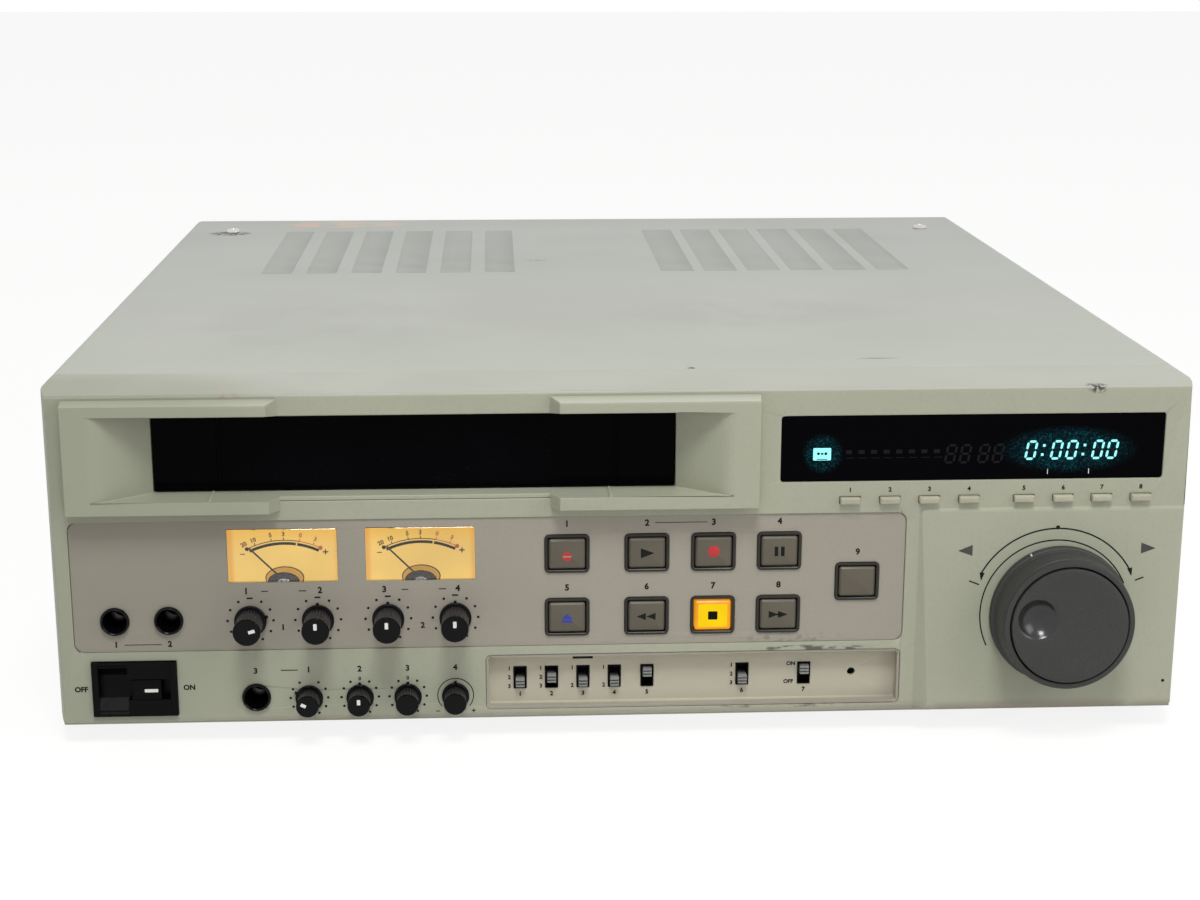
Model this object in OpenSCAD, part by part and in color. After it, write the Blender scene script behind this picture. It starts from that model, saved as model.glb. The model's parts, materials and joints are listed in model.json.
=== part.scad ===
// Editing video cassette recorder with a cassette flap, sound meters, level knobs and a jog dial.
// The front panel's face is the plane y = 0 of the panel frame, whose z = 0 is the panel's bottom edge.
// in_panel() moves that frame so that the recorder stands on z = 0 with its box centred over the origin.

/* [Case] */
// Width of the steel cover
case_w = 424; // [420:1:440]
// Height of the front panel and the cover
panel_h = 124; // [123:1:132]
// Depth from the panel's face to the back of the cover
body_d = 436; // [430:1:460]
// Thickness of the cover's sheet steel
sheet_t = 1.2; // [0.8:0.1:1.4]
// Bend radius along the cover's top edges
cover_r = 4; // [2.5:0.5:5]
// Thickness of the chassis pan and the rear panel
pan_t = 1.5; // [1:0.1:1.8]
// Height of the rubber feet
foot_h = 8; // [5:1:12]
// Radius of the rubber feet
foot_r = 11; // [8:0.5:14]
// How far the rear connectors stand out behind the cover
terminal_out = 9; // [7:0.5:12]

/* [Front panel] */
// Width of the panel's flat face
face_w = 411.5; // [409:0.5:414]
// Depth of the panel moulding up to the cover
panel_d = 36.5; // [34:0.5:40]
// Wall thickness of the panel moulding
panel_t = 3; // [2.6:0.1:3.2]
// Rounding of the panel's top and bottom front edges
edge_r = 1; // [0.8:0.1:2]
// Gap between the panel and the cover
seam_gap = 0.4; // [0.3:0.1:0.8]
// Gap round mouldings that sit in the panel
moulding_gap = 0.15; // [0.1:0.05:0.3]

/* [Cassette mouth] */
// Width of the mouth
mouth_w = 189; // [188.8:0.1:189.4]
// Height of the mouth
mouth_h = 31; // [30.5:0.1:31.4]
// Middle of the mouth across the panel
mouth_x = -75.75; // [-77:0.25:-74]
// Mouth floor below the panel's top edge
mouth_drop = 37.7; // [37.4:0.1:38]
// How far the bezel's wings stand out of the panel
wing_out = 6.5; // [5:0.5:8]
// Width of one wing beyond the mouth
wing_side = 30; // [28:0.5:31]
// How far a wing reaches over the mouth
wing_in = 46; // [40:1:55]
// Width of the bevel at the wing's inner end
wing_bevel = 3.4; // [3:0.2:6]
// Depth of the bezel behind the panel's face
bezel_d = 12; // [11:0.5:13]
// Set-back of the flap from the panel's face
flap_y = 7.5; // [7:0.1:8]
// Thickness of the flap
flap_t = 2; // [1.6:0.1:2.2]
// Gap round the flap
flap_gap = 0.4; // [0.3:0.05:0.6]
// Radius of the flap's hinge pins
flap_pin_r = 1; // [0.8:0.05:1]

/* [Controls] */
// Depth of the recess that holds the control plate
plate_recess = 2; // [1.8:0.1:2.2]
// Thickness of the control plate
plate_t = 1.5; // [1.2:0.1:1.6]
// Depth of the switch tray's floor
tray_y = 5; // [4.5:0.1:5.4]
// Width of a push button's black surround
button_w = 16.2; // [15.6:0.1:17]
// Height of a push button's black surround
button_h = 14.4; // [14:0.2:15.4]
// Wall of the black surround
surround_t = 1.2; // [1:0.1:1.4]
// How far a button's cap stands out of the control plate
cap_out = 1; // [0.6:0.1:1.8]
// Travel of the push buttons
button_travel = 1.2; // [0.8:0.1:1.4]
// Width of a small button under the display
key_w = 7.3; // [6:0.1:8]
// Height of a small button under the display
key_h = 2.5; // [2:0.1:2.8]
// How far a small button stands out
key_out = 2; // [1.5:0.1:2.5]
// Travel of the small buttons
key_travel = 0.7; // [0.5:0.1:0.9]
// Radius of a large level knob's skirt
knob_r = 5.8; // [5.4:0.1:6.4]
// Radius of a small knob's skirt
trim_r = 5; // [4.6:0.1:5.6]
// How far a large knob stands out of the panel's face
knob_out = 13.5; // [12:0.5:15]
// How far a small knob stands out of the panel's face
trim_out = 10; // [9:0.5:12]
// Radius of the knobs' shafts
shaft_r = 3; // [2.5:0.1:3.2]
// Radial running clearance of shafts in their bushings
shaft_fit = 0.06; // [0.03:0.01:0.1]
// Width of a slide switch's slot
slot_w = 3.7; // [3.5:0.1:4.1]
// Height of a slide switch's slot
slot_h = 7.5; // [7.3:0.1:8]
// Height of a slide switch's knob
slider_h = 3.6; // [3.4:0.1:3.9]
// Sliding clearance of switch knobs and caps
slide_fit = 0.2; // [0.15:0.05:0.25]
// Travel of the power switch
power_travel = 9.6; // [8:0.2:9.8]

/* [Dial] */
// Dial centre across the panel
dial_x = 160.7; // [158:0.1:162]
// Dial centre above the panel's bottom edge
dial_z = 38.4; // [36:0.1:40]
// Lean of the shuttle block's face and so of the dial
block_lean = 2.4; // [0:0.2:3]
// Radius of the shuttle ring's foot
ring_r = 26; // [25:0.1:27]
// Radius of the jog dial
jog_r = 21.4; // [20:0.1:22.4]
// How far the jog dial stands out of the block's face
jog_out = 17.2; // [14:0.2:19]
// Radius of the finger dimple in the jog dial
dimple_r = 7.5; // [5:0.5:8]

/* [Meters and display] */
// Width of a sound meter's window
meter_w = 39.4; // [37:0.2:40]
// Height of a sound meter's window
meter_h = 20; // [18:0.2:21]
// Length of the meter needle
needle_len = 17.4; // [15:0.2:17.8]
// Angle of the resting needle from upright
needle_rest = 44.5; // [38:0.5:46]
// Distance from the display window to the right edge of the panel's face
window_margin = 8.75; // [7:0.25:12]
// Height of the display window
window_h = 24.7; // [23:0.1:25]

/* [Tape transport] */
// Width of the cassette
cassette_w = 187; // [186.6:0.1:187.2]
// Depth of the cassette
cassette_d = 103; // [102.6:0.1:103.4]
// Height of the cassette
cassette_h = 25; // [24.6:0.1:25.2]
// Play between the cassette and its holder
cassette_play = 0.8; // [0.6:0.1:0.9]
// How far the carriage takes the cassette in
carriage_travel = 22; // [18:1:24]
// How far the holder drops on to the reels
holder_drop = 26; // [24:0.5:27]
// Distance between the two reel spindles
reel_pitch = 92; // [90:0.5:94]
// Height of the transport plate's top above the panel's bottom edge
deck_z = 45.5; // [43:0.5:46]
// Radius of the head drum
drum_r = 31; // [30:0.5:31.5]
// Lean of the head drum
drum_lean = 6; // [4:0.5:7]

/* [Hidden] */
$fn = 48;

// Colours
cover_grey = [0.72, 0.74, 0.71];
panel_beige = [0.67, 0.68, 0.60];
plate_taupe = [0.63, 0.60, 0.55];
cap_taupe = [0.52, 0.50, 0.44];
black = [0.06, 0.06, 0.07];
dial_grey = [0.27, 0.28, 0.27];
zinc = [0.70, 0.71, 0.72];
steel = [0.80, 0.80, 0.80];
board_green = [0.10, 0.32, 0.20];
meter_amber = [0.95, 0.74, 0.36];

// Shared small gaps and sizes
part_gap = 0.2;
stop_gap = 0.3;
eps = 0.01;
case_half = case_w / 2;
seam_y = panel_d + seam_gap;
cavity_z1 = panel_h - panel_t;

// Mouth, bezel and flap, hung from the panel's top edge
mouth_x0 = mouth_x - mouth_w / 2;
mouth_x1 = mouth_x + mouth_w / 2;
mouth_z0 = panel_h - mouth_drop;
mouth_z1 = mouth_z0 + mouth_h;
bezel_wall = 1.6;
bezel_ear = 20;
wing_z0 = panel_h - 43;
wing_z1 = panel_h - 1.6;
wing_chamfer = 0.9;
scoop_w = 18;
scoop_ease = 3;
lip_drop = 1.3;
lip_y = 3.5;
flap_axis_y = flap_y + flap_t / 2;
flap_axis_z = mouth_z1 - 1.9;
flap_pin_l = 2.5;

// Display window and its keys, both set out from the right edge of the panel's face
window_x0 = mouth_x1 + 37.55;
window_x1 = face_w / 2 - window_margin;
window_z1 = panel_h - 10;
window_z0 = window_z1 - window_h;
window_t = 1.6;
key_back = [123.75, 109.15, 94.65, 80.05, 59.75, 45.25, 30.95, 16.45];
key_x = [for (back = key_back) face_w / 2 - back];
key_z = window_z0 - 7.1;

// Control plate, [left, bottom] to [right, top]
plate_lo = [-200.6, 28];
plate_hi = [103.2, 77.4];
plate_r = 3;
plate_ledge = 2;
plate_y0 = plate_recess - plate_t;
button_xz = [[-21.2, 63.3], [8, 63.3], [32.4, 63.3], [56.6, 63.3],
    [-21.2, 39], [8, 39], [32.4, 39], [56.6, 39], [85.6, 51.2]];
level_xz = [[-136.6, 39.4], [-112.1, 39.4], [-86.6, 39.4], [-62.1, 39.5]];
level_turn = [75, 0, 0, 0];
trim_xz = [[-116.2, 9.3], [-97.6, 9.3], [-80, 9.3], [-62.5, 9.3]];
trim_turn = [-65, 0, 0, 0];
meter_xz = [[-124.25, 64], [-74.5, 64]];
jack_xz = [[-185.5, 39.8], [-166.1, 39.9], [-135.5, 9.9]];
jack_bore_r = 3.3;
jack_collar_r = 5.6;
jack_l = 20;

// Switch tray, [left, bottom] to [right, top]
tray_lo = [-51.3, 3.3];
tray_hi = [102.8, 24.8];
tray_wall = 1.2;
tray_hole = [85.4, 14.2];
tray_hole_r = 1.5;
tray_t = 1.5;
switch_x = [-38.6, -26.9, -15.2, -3.5, 8.7, 44.3, 67.5];
switch_z = 14;
slider_reach = (slot_h - slider_h) / 2 - part_gap;
switch_rest = [-0.9, 0, -1, -0.95, 1, -0.9, 1];
slot_rim = 0.5;

// Power switch
power_x = -179.5;
power_z = 14;
power_w = 30.7;
power_h = 20.8;
power_knob_w = 10.8;
power_knob_h = 7.6;
power_end_gap = [2.4, 3.2];
power_slot_w = power_knob_w + power_travel + power_end_gap[0] + power_end_gap[1];
power_knob_x = power_x + power_slot_w / 2 - power_knob_w / 2 - power_end_gap[1];

// Shuttle block and dial
block_lo = [108, 0.6];
block_top = 77.1;
block_out = 0.6;
block_bevel = 4;
block_roll = 1.7;
block_corner = 3.5;
hub_r = shaft_r + 2;
ring_out = jog_out - 0.8;
ring_rim_r = ring_r - 1.9;
ring_floor = ring_out - 8;
jog_gap = 0.5;
sleeve_l = 9.4;
shaft_l = 12.2;
jog_chamfer = 0.3;
dimple_at = [-11.9, 2.8];
dial_face_y = -block_out - (block_top - dial_z) * tan(block_lean);
front_reach = -dial_face_y + jog_out * cos(block_lean) + (jog_r - jog_chamfer) * sin(block_lean);

// Electronics behind the panel
board_y = 12;
board_t = 1.6;
chassis_z = panel_t + part_gap;
chassis_top = chassis_z + pan_t;
front_y = (front_reach - body_d - terminal_out) / 2;

// Transport, carried over the chassis on pillars
deck_t = 1.5;
deck_y0 = 46;
deck_d = 216;
holder_wall = 1.2;
holder_y = 40;
holder_d = cassette_d + 1.4;
holder_floor = mouth_z0 + 1.7;
holder_top = holder_floor + cassette_h + cassette_play + holder_wall;
holder_ledge = 9;
holder_half = cassette_w / 2 + cassette_play + holder_wall;
carriage_t = 1.5;
carriage_half = holder_half + 0.8 + carriage_t;
carriage_z1 = panel_h - sheet_t - 3.8;
bracket_half = carriage_half + 0.8 + carriage_t;
guide_pin_r = 1.8;
guide_fit = 0.2;
holder_pin_y = [60, 124];
holder_pin_z = holder_top - 4.5;
carriage_pin_y = [50, 134];
carriage_pin_z = deck_z + 54.5;
seat_z = holder_floor - holder_drop;
reel_y = holder_y + carriage_travel + 41.5;
reel_post_r = 1.5;
drum_x = mouth_x + 4;
drum_y = holder_y + holder_d + carriage_travel + 5.6 + drum_r;
drum_z = deck_z + 5;
drum_half_h = 18;
drum_shaft_r = 3;
capstan_off = [46, -28];
capstan_x = drum_x + capstan_off[0];
capstan_y = drum_y + capstan_off[1];
rest_x = 70;
rest_y = [-30, 44];
capstan_r = 2;

// Vents and screws of the cover
vent_x = [[-157, 21.2, 14.5], [33.4, 20.8, 16]];
vent_y = body_d - 178;
vent_d = 136;
vent_pitch = 10;
vent_slit = 4.4;
vent_columns = 6;
top_screw = [186, 43];
side_screw_y = [90, 380];
side_screw_z = 16;

// Frames of reference
module in_panel() translate([0, front_y, foot_h]) children();

module on_dial() in_panel() translate([dial_x, dial_face_y, dial_z]) rotate([90 - block_lean, 0, 0]) children();

module on_drum() in_panel() translate([drum_x, drum_y, drum_z]) rotate([drum_lean, 0, 0]) children();

// Shapes
module block(lo, hi) translate(lo) cube(hi - lo);

function corner(c, r, a0, steps) = [for (i = [0:steps]) c + r * [cos(a0 + 90 * i / steps), sin(a0 + 90 * i / steps)]];

function rounded(lo, hi, r, steps = 4) = concat(
    corner([hi[0] - r, hi[1] - r], r, 0, steps), corner([lo[0] + r, hi[1] - r], r, 90, steps),
    corner([lo[0] + r, lo[1] + r], r, 180, steps), corner([hi[0] - r, lo[1] + r], r, 270, steps));

// A drawing in x and z, carried from y0 to y1
module along_y(y0, y1) translate([0, y1, 0]) rotate([90, 0, 0]) linear_extrude(y1 - y0) children();

// A drawing in y and z, carried from x0 to x1
module along_x(x0, x1) translate([x0, 0, 0]) rotate([90, 0, 90]) linear_extrude(x1 - x0) children();

module plate(lo, hi, r, y0, y1) along_y(y0, y1) polygon(rounded(lo, hi, r));

function inset(p, by) = [p[0] + by, p[1] + by];

module rod_y(xz, y0, y1, r) translate([xz[0], y0, xz[1]]) rotate([-90, 0, 0]) cylinder(y1 - y0, r = r);

module rod_x(x0, x1, yz, r) translate([x0, yz[0], yz[1]]) rotate([0, 90, 0]) cylinder(x1 - x0, r = r);

module rod_z(xy, z0, z1, r) translate([xy[0], xy[1], z0]) cylinder(z1 - z0, r = r);

// Half-width of the panel moulding at depth y: its sides draw in towards the face
function panel_half(y) = case_half - (case_half - face_w / 2) * pow(1 - y / panel_d, 2);

function panel_edge(inset, y_front) = [for (i = [0:6]) let (y = y_front + (panel_d - y_front) * i / 6) [panel_half(y) - inset, y]];

function both_sides(edge) = concat(edge, [for (i = [len(edge) - 1:-1:0]) [-edge[i][0], edge[i][1]]]);

// Front face of the shuttle block at height z
function block_y(z) = -block_out - (block_top - z) * tan(block_lean);

// Case
module top_cover() color(cover_grey) in_panel() difference() {
    along_y(seam_y, body_d) difference() {
        polygon(concat([[case_half, part_gap]], corner([case_half - cover_r, panel_h - cover_r], cover_r, 0, 6),
            corner([cover_r - case_half, panel_h - cover_r], cover_r, 90, 6), [[-case_half, part_gap]]));
        polygon(concat([[case_half - sheet_t, -1]],
            corner([case_half - cover_r, panel_h - cover_r], cover_r - sheet_t, 0, 6),
            corner([cover_r - case_half, panel_h - cover_r], cover_r - sheet_t, 90, 6), [[sheet_t - case_half, -1]]));
    }
    for (bank = vent_x) for (c = [0:vent_columns - 1]) for (y = [vent_y:vent_pitch:vent_y + vent_d - vent_slit])
        translate([bank[0] + c * bank[1], y, panel_h - sheet_t - 1]) cube([bank[2], vent_slit, sheet_t + 2]);
    for (s = [-1, 1]) rod_z([s * top_screw[0], body_d - top_screw[1]], panel_h - sheet_t - 1, panel_h + 1, screw_hole_r);
    for (y = side_screw_y) rod_x(-case_half - 1, case_half + 1, [y, side_screw_z], screw_hole_r);
}

screw_hole_r = 1.8;
screw_r = 1.7;
screw_head_r = 3.6;
foot_at = [[-185, 62], [185, 62], [-185, body_d - 46], [185, body_d - 46]];
flange_out = case_half - sheet_t - part_gap;
flange_h = 28;
tongue_y = 25;
tongue_half = face_w / 2 - panel_t - 1;
rear_y1 = body_d - 1;
rear_y0 = rear_y1 - pan_t;
chassis_y1 = rear_y0 - part_gap;
tab_y0 = body_d - top_screw[1] - 13;
tab_y1 = body_d - top_screw[1] + 13;
tab_z = panel_h - sheet_t - part_gap;

// What fits inside the cover with the part gap all round
module inside_cover() along_y(tongue_y - 1, body_d)
    polygon(concat([[flange_out, 0]],
        corner([case_half - cover_r, panel_h - cover_r], cover_r - sheet_t - part_gap, 0, 6),
        corner([cover_r - case_half, panel_h - cover_r], cover_r - sheet_t - part_gap, 90, 6), [[-flange_out, 0]]));

module base_chassis() color(zinc) in_panel() difference() {
    intersection() {
        inside_cover();
        chassis_blank();
    }
    for (s = [-1, 1]) rod_z([s * top_screw[0], body_d - top_screw[1]], tab_z - pan_t - 1, tab_z + 1, screw_hole_r);
    for (y = side_screw_y) rod_x(-case_half - 1, case_half + 1, [y, side_screw_z], screw_hole_r);
    for (p = foot_at) rod_z(p, chassis_z - 1, chassis_top + 1, screw_hole_r);
}

module chassis_blank() union() {
    block([-flange_out, seam_y + 2, chassis_z], [flange_out, chassis_y1, chassis_top]);
    block([-tongue_half, tongue_y, chassis_z], [tongue_half, seam_y + 3, chassis_top]);
    for (s = [-1, 1]) {
        translate([s * (flange_out - pan_t / 2), 0, 0])
            block([-pan_t / 2, seam_y + 2, chassis_z], [pan_t / 2, chassis_y1, chassis_z + flange_h]);
        translate([s * (flange_out - pan_t / 2), 0, 0])
            block([-pan_t / 2, tab_y0, chassis_z], [pan_t / 2, tab_y1, tab_z]);
        translate([s * (flange_out - 20), 0, 0]) block([-20, tab_y0, tab_z - pan_t], [20, tab_y1, tab_z]);
    }
}

module feet() color(black) in_panel() for (p = foot_at) difference() {
    union() {
        rod_z(p, -foot_h, -foot_h + 2, foot_r - 1.2);
        rod_z(p, -foot_h + 2, -part_gap, foot_r);
        rod_z(p, -part_gap, chassis_z, foot_r - 3);
    }
    rod_z(p, -foot_h - 1, -foot_h + 4, screw_head_r + 0.4);
    rod_z(p, -foot_h, chassis_z + 1, screw_hole_r);
}

// A pan-head screw with its head above z = 0 and its shank below
module screw(shank) {
    translate([0, 0, 1.2]) cylinder(0.7, r1 = screw_head_r, r2 = screw_head_r - 0.8);
    cylinder(1.2, r = screw_head_r);
    translate([0, 0, -shank]) cylinder(shank, r = screw_r);
}

module case_screws() color(steel) in_panel() {
    for (s = [-1, 1]) translate([s * top_screw[0], body_d - top_screw[1], panel_h]) screw(sheet_t + pan_t + 2);
    for (s = [-1, 1]) for (y = side_screw_y)
        translate([s * case_half, y, side_screw_z]) rotate([0, s * 90, 0]) screw(sheet_t + pan_t + 2);
    for (p = foot_at) translate([p[0], p[1], -foot_h + 4 - eps]) rotate([180, 0, 0]) screw(foot_h - 4 + chassis_top - part_gap);
}

// Rear panel and its connectors
bnc_x = [-180, -158, -136, -114];
bnc_z = [88, 60];
phono_x = [-78, -60, -42, -24];
phono_z = [88, 60];
multi_x = [16, 52];
multi_z = 74;
inlet_at = [158, 40];
inlet_half = [14, 10];
bnc_r = 4.85;
phono_r = 4.1;
multi_r = 9;
socket_flange_t = 1.6;

module rear_panel() color(zinc) in_panel() difference() {
    intersection() {
        inside_cover();
        block([-flange_out, rear_y0, chassis_z], [flange_out, rear_y1, tab_z]);
    }
    for (x = bnc_x) for (z = bnc_z) rod_y([x, z], rear_y0 - 1, rear_y1 + 1, bnc_r + moulding_gap);
    for (x = phono_x) for (z = phono_z) rod_y([x, z], rear_y0 - 1, rear_y1 + 1, phono_r + moulding_gap);
    for (x = multi_x) rod_y([x, multi_z], rear_y0 - 1, rear_y1 + 1, multi_r + moulding_gap);
    translate([inlet_at[0], 0, inlet_at[1]])
        block([-inlet_half[0] - moulding_gap, rear_y0 - 1, -inlet_half[1] - moulding_gap],
            [inlet_half[0] + moulding_gap, rear_y1 + 1, inlet_half[1] + moulding_gap]);
}

module rear_socket(xz, r, bore_r, body_w, out) {
    difference() {
        union() {
            rod_y(xz, rear_y0 - 8, body_d + out, r);
            rod_y(xz, rear_y1 + part_gap / 2, rear_y1 + socket_flange_t, r + 1.8);
        }
        rod_y(xz, rear_y0 - 2, body_d + out + 1, bore_r);
    }
    rod_y(xz, rear_y0 - 3, body_d + out - 3, 0.9);
    translate([xz[0], 0, xz[1]])
        block([-body_w / 2, rear_y0 - 16, -body_w / 2], [body_w / 2, rear_y0 - part_gap / 2, body_w / 2]);
}

module rear_terminals() color(steel) in_panel() {
    for (x = bnc_x) for (z = bnc_z) rear_socket([x, z], bnc_r, 3.9, 13, terminal_out);
    for (x = phono_x) for (z = phono_z) rear_socket([x, z], phono_r, 3.2, 12, terminal_out - 2);
    for (x = multi_x) difference() {
        union() {
            rod_y([x, multi_z], rear_y0 - 6, body_d + 2, multi_r);
            block([x - 12, rear_y0 - 12, multi_z - 12], [x + 12, rear_y0 - part_gap / 2, multi_z + 12]);
        }
        rod_y([x, multi_z], rear_y0 - 5, body_d + 3, multi_r - 1.2);
    }
    translate([inlet_at[0], 0, inlet_at[1]]) difference() {
        union() {
            block([-inlet_half[0], rear_y0 - 20, -inlet_half[1]], [inlet_half[0], body_d + 1, inlet_half[1]]);
            block([-inlet_half[0] - 3, rear_y1, -inlet_half[1] - 3], [inlet_half[0] + 3, body_d + 1.5, inlet_half[1] + 3]);
        }
        block([-inlet_half[0] + 2, rear_y0 - 14, -inlet_half[1] + 2], [inlet_half[0] - 2, body_d + 3, inlet_half[1] - 2]);
    }
    for (x = [-7, 0, 7]) translate([inlet_at[0] + x, 0, inlet_at[1]]) block([-2, rear_y0 - 15, -1], [2, rear_y1 - 3, 1]);
}

// Front panel with its raised shuttle block
bezel_lo = [mouth_x0 - bezel_ear, mouth_z0 - bezel_wall];
bezel_hi = [mouth_x1 + bezel_ear, mouth_z1 + bezel_wall];

module panel_side_profile() polygon(concat(
    [[panel_d, 0], [panel_d, panel_h]],
    corner([edge_r, panel_h - edge_r], edge_r, 90, 3),
    corner([edge_r, edge_r], edge_r, 180, 3)));

// Raised block under the dial: leaning face, bevelled left side and rolled bottom edge
module shuttle_block() intersection() {
    along_x(block_lo[0], case_half) polygon([
        [eps, block_lo[1] + 1.5], [block_y(block_lo[1]) + 3.2, block_lo[1]], [block_y(3) + 0.9, 1.4],
        [block_y(4.2), 4.2], [block_y(block_top), block_top],
        [block_y(block_top) * 0.75, block_top + block_roll / 2], [eps, block_top + block_roll],
        [edge_r * 2, block_top + block_roll], [edge_r * 2, block_lo[1] + 1.5]]);
    plate([block_lo[0], -20], [case_half + 20, block_top + block_roll], block_corner, -20, 20);
    linear_extrude(block_top + block_roll + 1) polygon(concat(
        [[block_lo[0] + block_bevel + 1, block_y(0)]],
        [for (i = [0:6]) let (y = block_y(0) + (edge_r - block_y(0)) * i / 6) [panel_half(y), y]],
        [[block_lo[0], edge_r], [block_lo[0], 0]]));
}

module front_panel() color(panel_beige) in_panel() difference() {
    union() {
        intersection() {
            linear_extrude(panel_h) polygon(both_sides(panel_edge(0, 0)));
            along_x(-case_half, case_half) panel_side_profile();
            plate([-case_half, -20], [case_half, panel_h], cover_r, -1, panel_d + 1);
        }
        shuttle_block();
    }
    translate([0, 0, panel_t]) linear_extrude(cavity_z1 - panel_t)
        polygon(both_sides(concat(panel_edge(panel_t, panel_t), [[case_half - panel_t, panel_d + 1]])));
    block([bezel_lo[0] - moulding_gap, -1, bezel_lo[1] - moulding_gap],
        [bezel_hi[0] + moulding_gap, panel_t + 1, bezel_hi[1] + moulding_gap]);
    plate(plate_lo, plate_hi, plate_r, -1, plate_recess);
    plate(inset(plate_lo, plate_ledge), inset(plate_hi, -plate_ledge), plate_r - 2, 0, panel_t + 1);
    plate(tray_lo, tray_hi, 2, -1, panel_t + 1);
    plate(window_lo, window_hi, 1, -1, window_recess);
    plate(inset(window_lo, 3), inset(window_hi, -3), 1, 0, panel_t + 1);
    for (x = key_x) translate([x, 0, key_z])
        block([-key_w / 2 - slide_fit, -1, -key_h / 2 - slide_fit], [key_w / 2 + slide_fit, panel_t + 1, key_h / 2 + slide_fit]);
    for (p = trim_xz) rod_y(p, -1, panel_t + 1, shaft_r + 0.3);
    rod_y(jack_xz[2], -1, panel_t + 1, jack_collar_r - 0.6);
    translate([power_x, 0, power_z])
        block([-power_w / 2 - moulding_gap, -1, -power_h / 2 - moulding_gap],
            [power_w / 2 + moulding_gap, panel_t + 1, power_h / 2 + moulding_gap]);
    translate([dial_x, dial_face_y, dial_z]) rotate([90 - block_lean, 0, 0])
        translate([0, 0, -12]) cylinder(16, r = hub_r + shaft_fit);
}

window_recess = window_t + 0.4;
window_lo = [window_x0, window_z0];
window_hi = [window_x1, window_z1];

// The display's dark window and the lenses of the two meters
module clear_windows() color(black) in_panel() {
    plate(inset(window_lo, moulding_gap), inset(window_hi, -moulding_gap), 1, window_recess - window_t, window_recess);
    for (p = meter_xz) plate(p - [meter_w, meter_h] / 2, p + [meter_w, meter_h] / 2, 0.5, plate_y0 - part_gap, plate_recess);
}

// The bezel's raised wings, its side scoops and the mouth
wing_out_lo = mouth_x0 - wing_side;
wing_out_hi = mouth_x1 + wing_side;

// Side profile of a wing: chamfered along the top and bottom
module wing_profile() polygon([
    [0, wing_z0], [-wing_out, wing_z0 + wing_chamfer / 2], [-wing_out, wing_z1 - wing_chamfer], [0, wing_z1]]);

// Plan of the left wing; the right one mirrors it about the mouth
function wing_plan() = [
    [wing_out_lo, 0], [wing_out_lo + 0.8, -wing_out], [mouth_x0 + wing_in - wing_bevel, -wing_out], [mouth_x0 + wing_in, 0]];

// Plan of the left scoop: eased into the wing's face, then straight to the flap
scoop_slope = (flap_y - 0.5 + wing_out) / scoop_w;

function scoop_plan() = concat([[mouth_x0 + eps, -wing_out - 1], [mouth_x0 + eps, flap_y - 0.5]],
    [for (i = [4:-1:0]) [mouth_x0 - scoop_w + scoop_ease * (i / 2 - 1), scoop_slope * scoop_ease * i * i / 16 - wing_out]]);

module about_mouth() {
    children();
    translate([2 * mouth_x, 0, 0]) mirror([1, 0, 0]) children();
}

module cassette_bezel() color(panel_beige) in_panel() difference() {
    union() {
        block([bezel_lo[0], 0, bezel_lo[1]], [bezel_hi[0], bezel_d, bezel_hi[1]]);
        about_mouth() intersection() {
            along_x(wing_out_lo, mouth_x0 + wing_in) wing_profile();
            linear_extrude(panel_h) polygon(wing_plan());
        }
    }
    along_x(mouth_x0, mouth_x1) polygon([[-wing_out - 1, mouth_z0], [bezel_d + 1, mouth_z0], [bezel_d + 1, mouth_z1],
        [lip_y, mouth_z1], [lip_y - 1, mouth_z1 - lip_drop], [0, mouth_z1 - lip_drop],
        [-wing_out, mouth_z1], [-wing_out - 1, mouth_z1]]);
    about_mouth() translate([0, 0, mouth_z0]) linear_extrude(mouth_h) polygon(scoop_plan());
    rod_x(mouth_x0 - flap_pin_l - part_gap, mouth_x1 + flap_pin_l + part_gap,
        [flap_axis_y, flap_axis_z], flap_pin_r + shaft_fit);
}

module cassette_flap() color(black) in_panel() {
    difference() {
        block([mouth_x0 + flap_gap, flap_y, mouth_z0 + flap_gap],
            [mouth_x1 - flap_gap, flap_y + flap_t, flap_axis_z + 1.3]);
        for (s = [-1, 1]) for (dx = [0, 1.4])
            translate([mouth_x + s * (mouth_w / 2 - 23) + dx, flap_y - 1, mouth_z0]) cube([0.6, 1.3, mouth_h]);
    }
    for (s = [-1, 1]) translate([mouth_x + s * (mouth_w - 2 * flap_gap + flap_pin_l) / 2, 0, 0])
        rod_x(-flap_pin_l / 2, flap_pin_l / 2, [flap_axis_y, flap_axis_z], flap_pin_r);
}

// Control plate and switch tray
module plate_window(p, half, r) plate(inset(p - half, -0.1), inset(p + half, 0.1), r, plate_y0 - 1, plate_recess + 1);

module control_plates() color(plate_taupe) in_panel() {
    difference() {
        plate(inset(plate_lo, moulding_gap), inset(plate_hi, -moulding_gap), plate_r - moulding_gap, plate_y0, plate_recess);
        for (p = button_xz) plate_window(p, [button_w, button_h] / 2, 1.6);
        for (p = meter_xz) plate_window(p, [meter_w, meter_h] / 2, 0.5);
        for (p = level_xz) rod_y(p, plate_y0 - 1, plate_recess + 1, shaft_r + 0.3);
        for (i = [0, 1]) rod_y(jack_xz[i], plate_y0 - 1, plate_recess + 1, jack_collar_r - 0.6);
    }
    difference() {
        plate(inset(tray_lo, moulding_gap), inset(tray_hi, -moulding_gap), 2 - moulding_gap, 0.3, tray_y + tray_t);
        plate(inset(tray_lo, tray_wall), inset(tray_hi, -tray_wall), 1.2, -1, tray_y);
        for (x = switch_x) translate([x, 0, switch_z])
            block([-slot_w / 2 - slot_rim - 0.1, tray_y - 1, -slot_h / 2 - slot_rim - 0.1],
                [slot_w / 2 + slot_rim + 0.1, tray_y + tray_t + 1, slot_h / 2 + slot_rim + 0.1]);
        rod_y(tray_hole, tray_y - 1, tray_y + tray_t + 1, tray_hole_r);
    }
}

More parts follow.
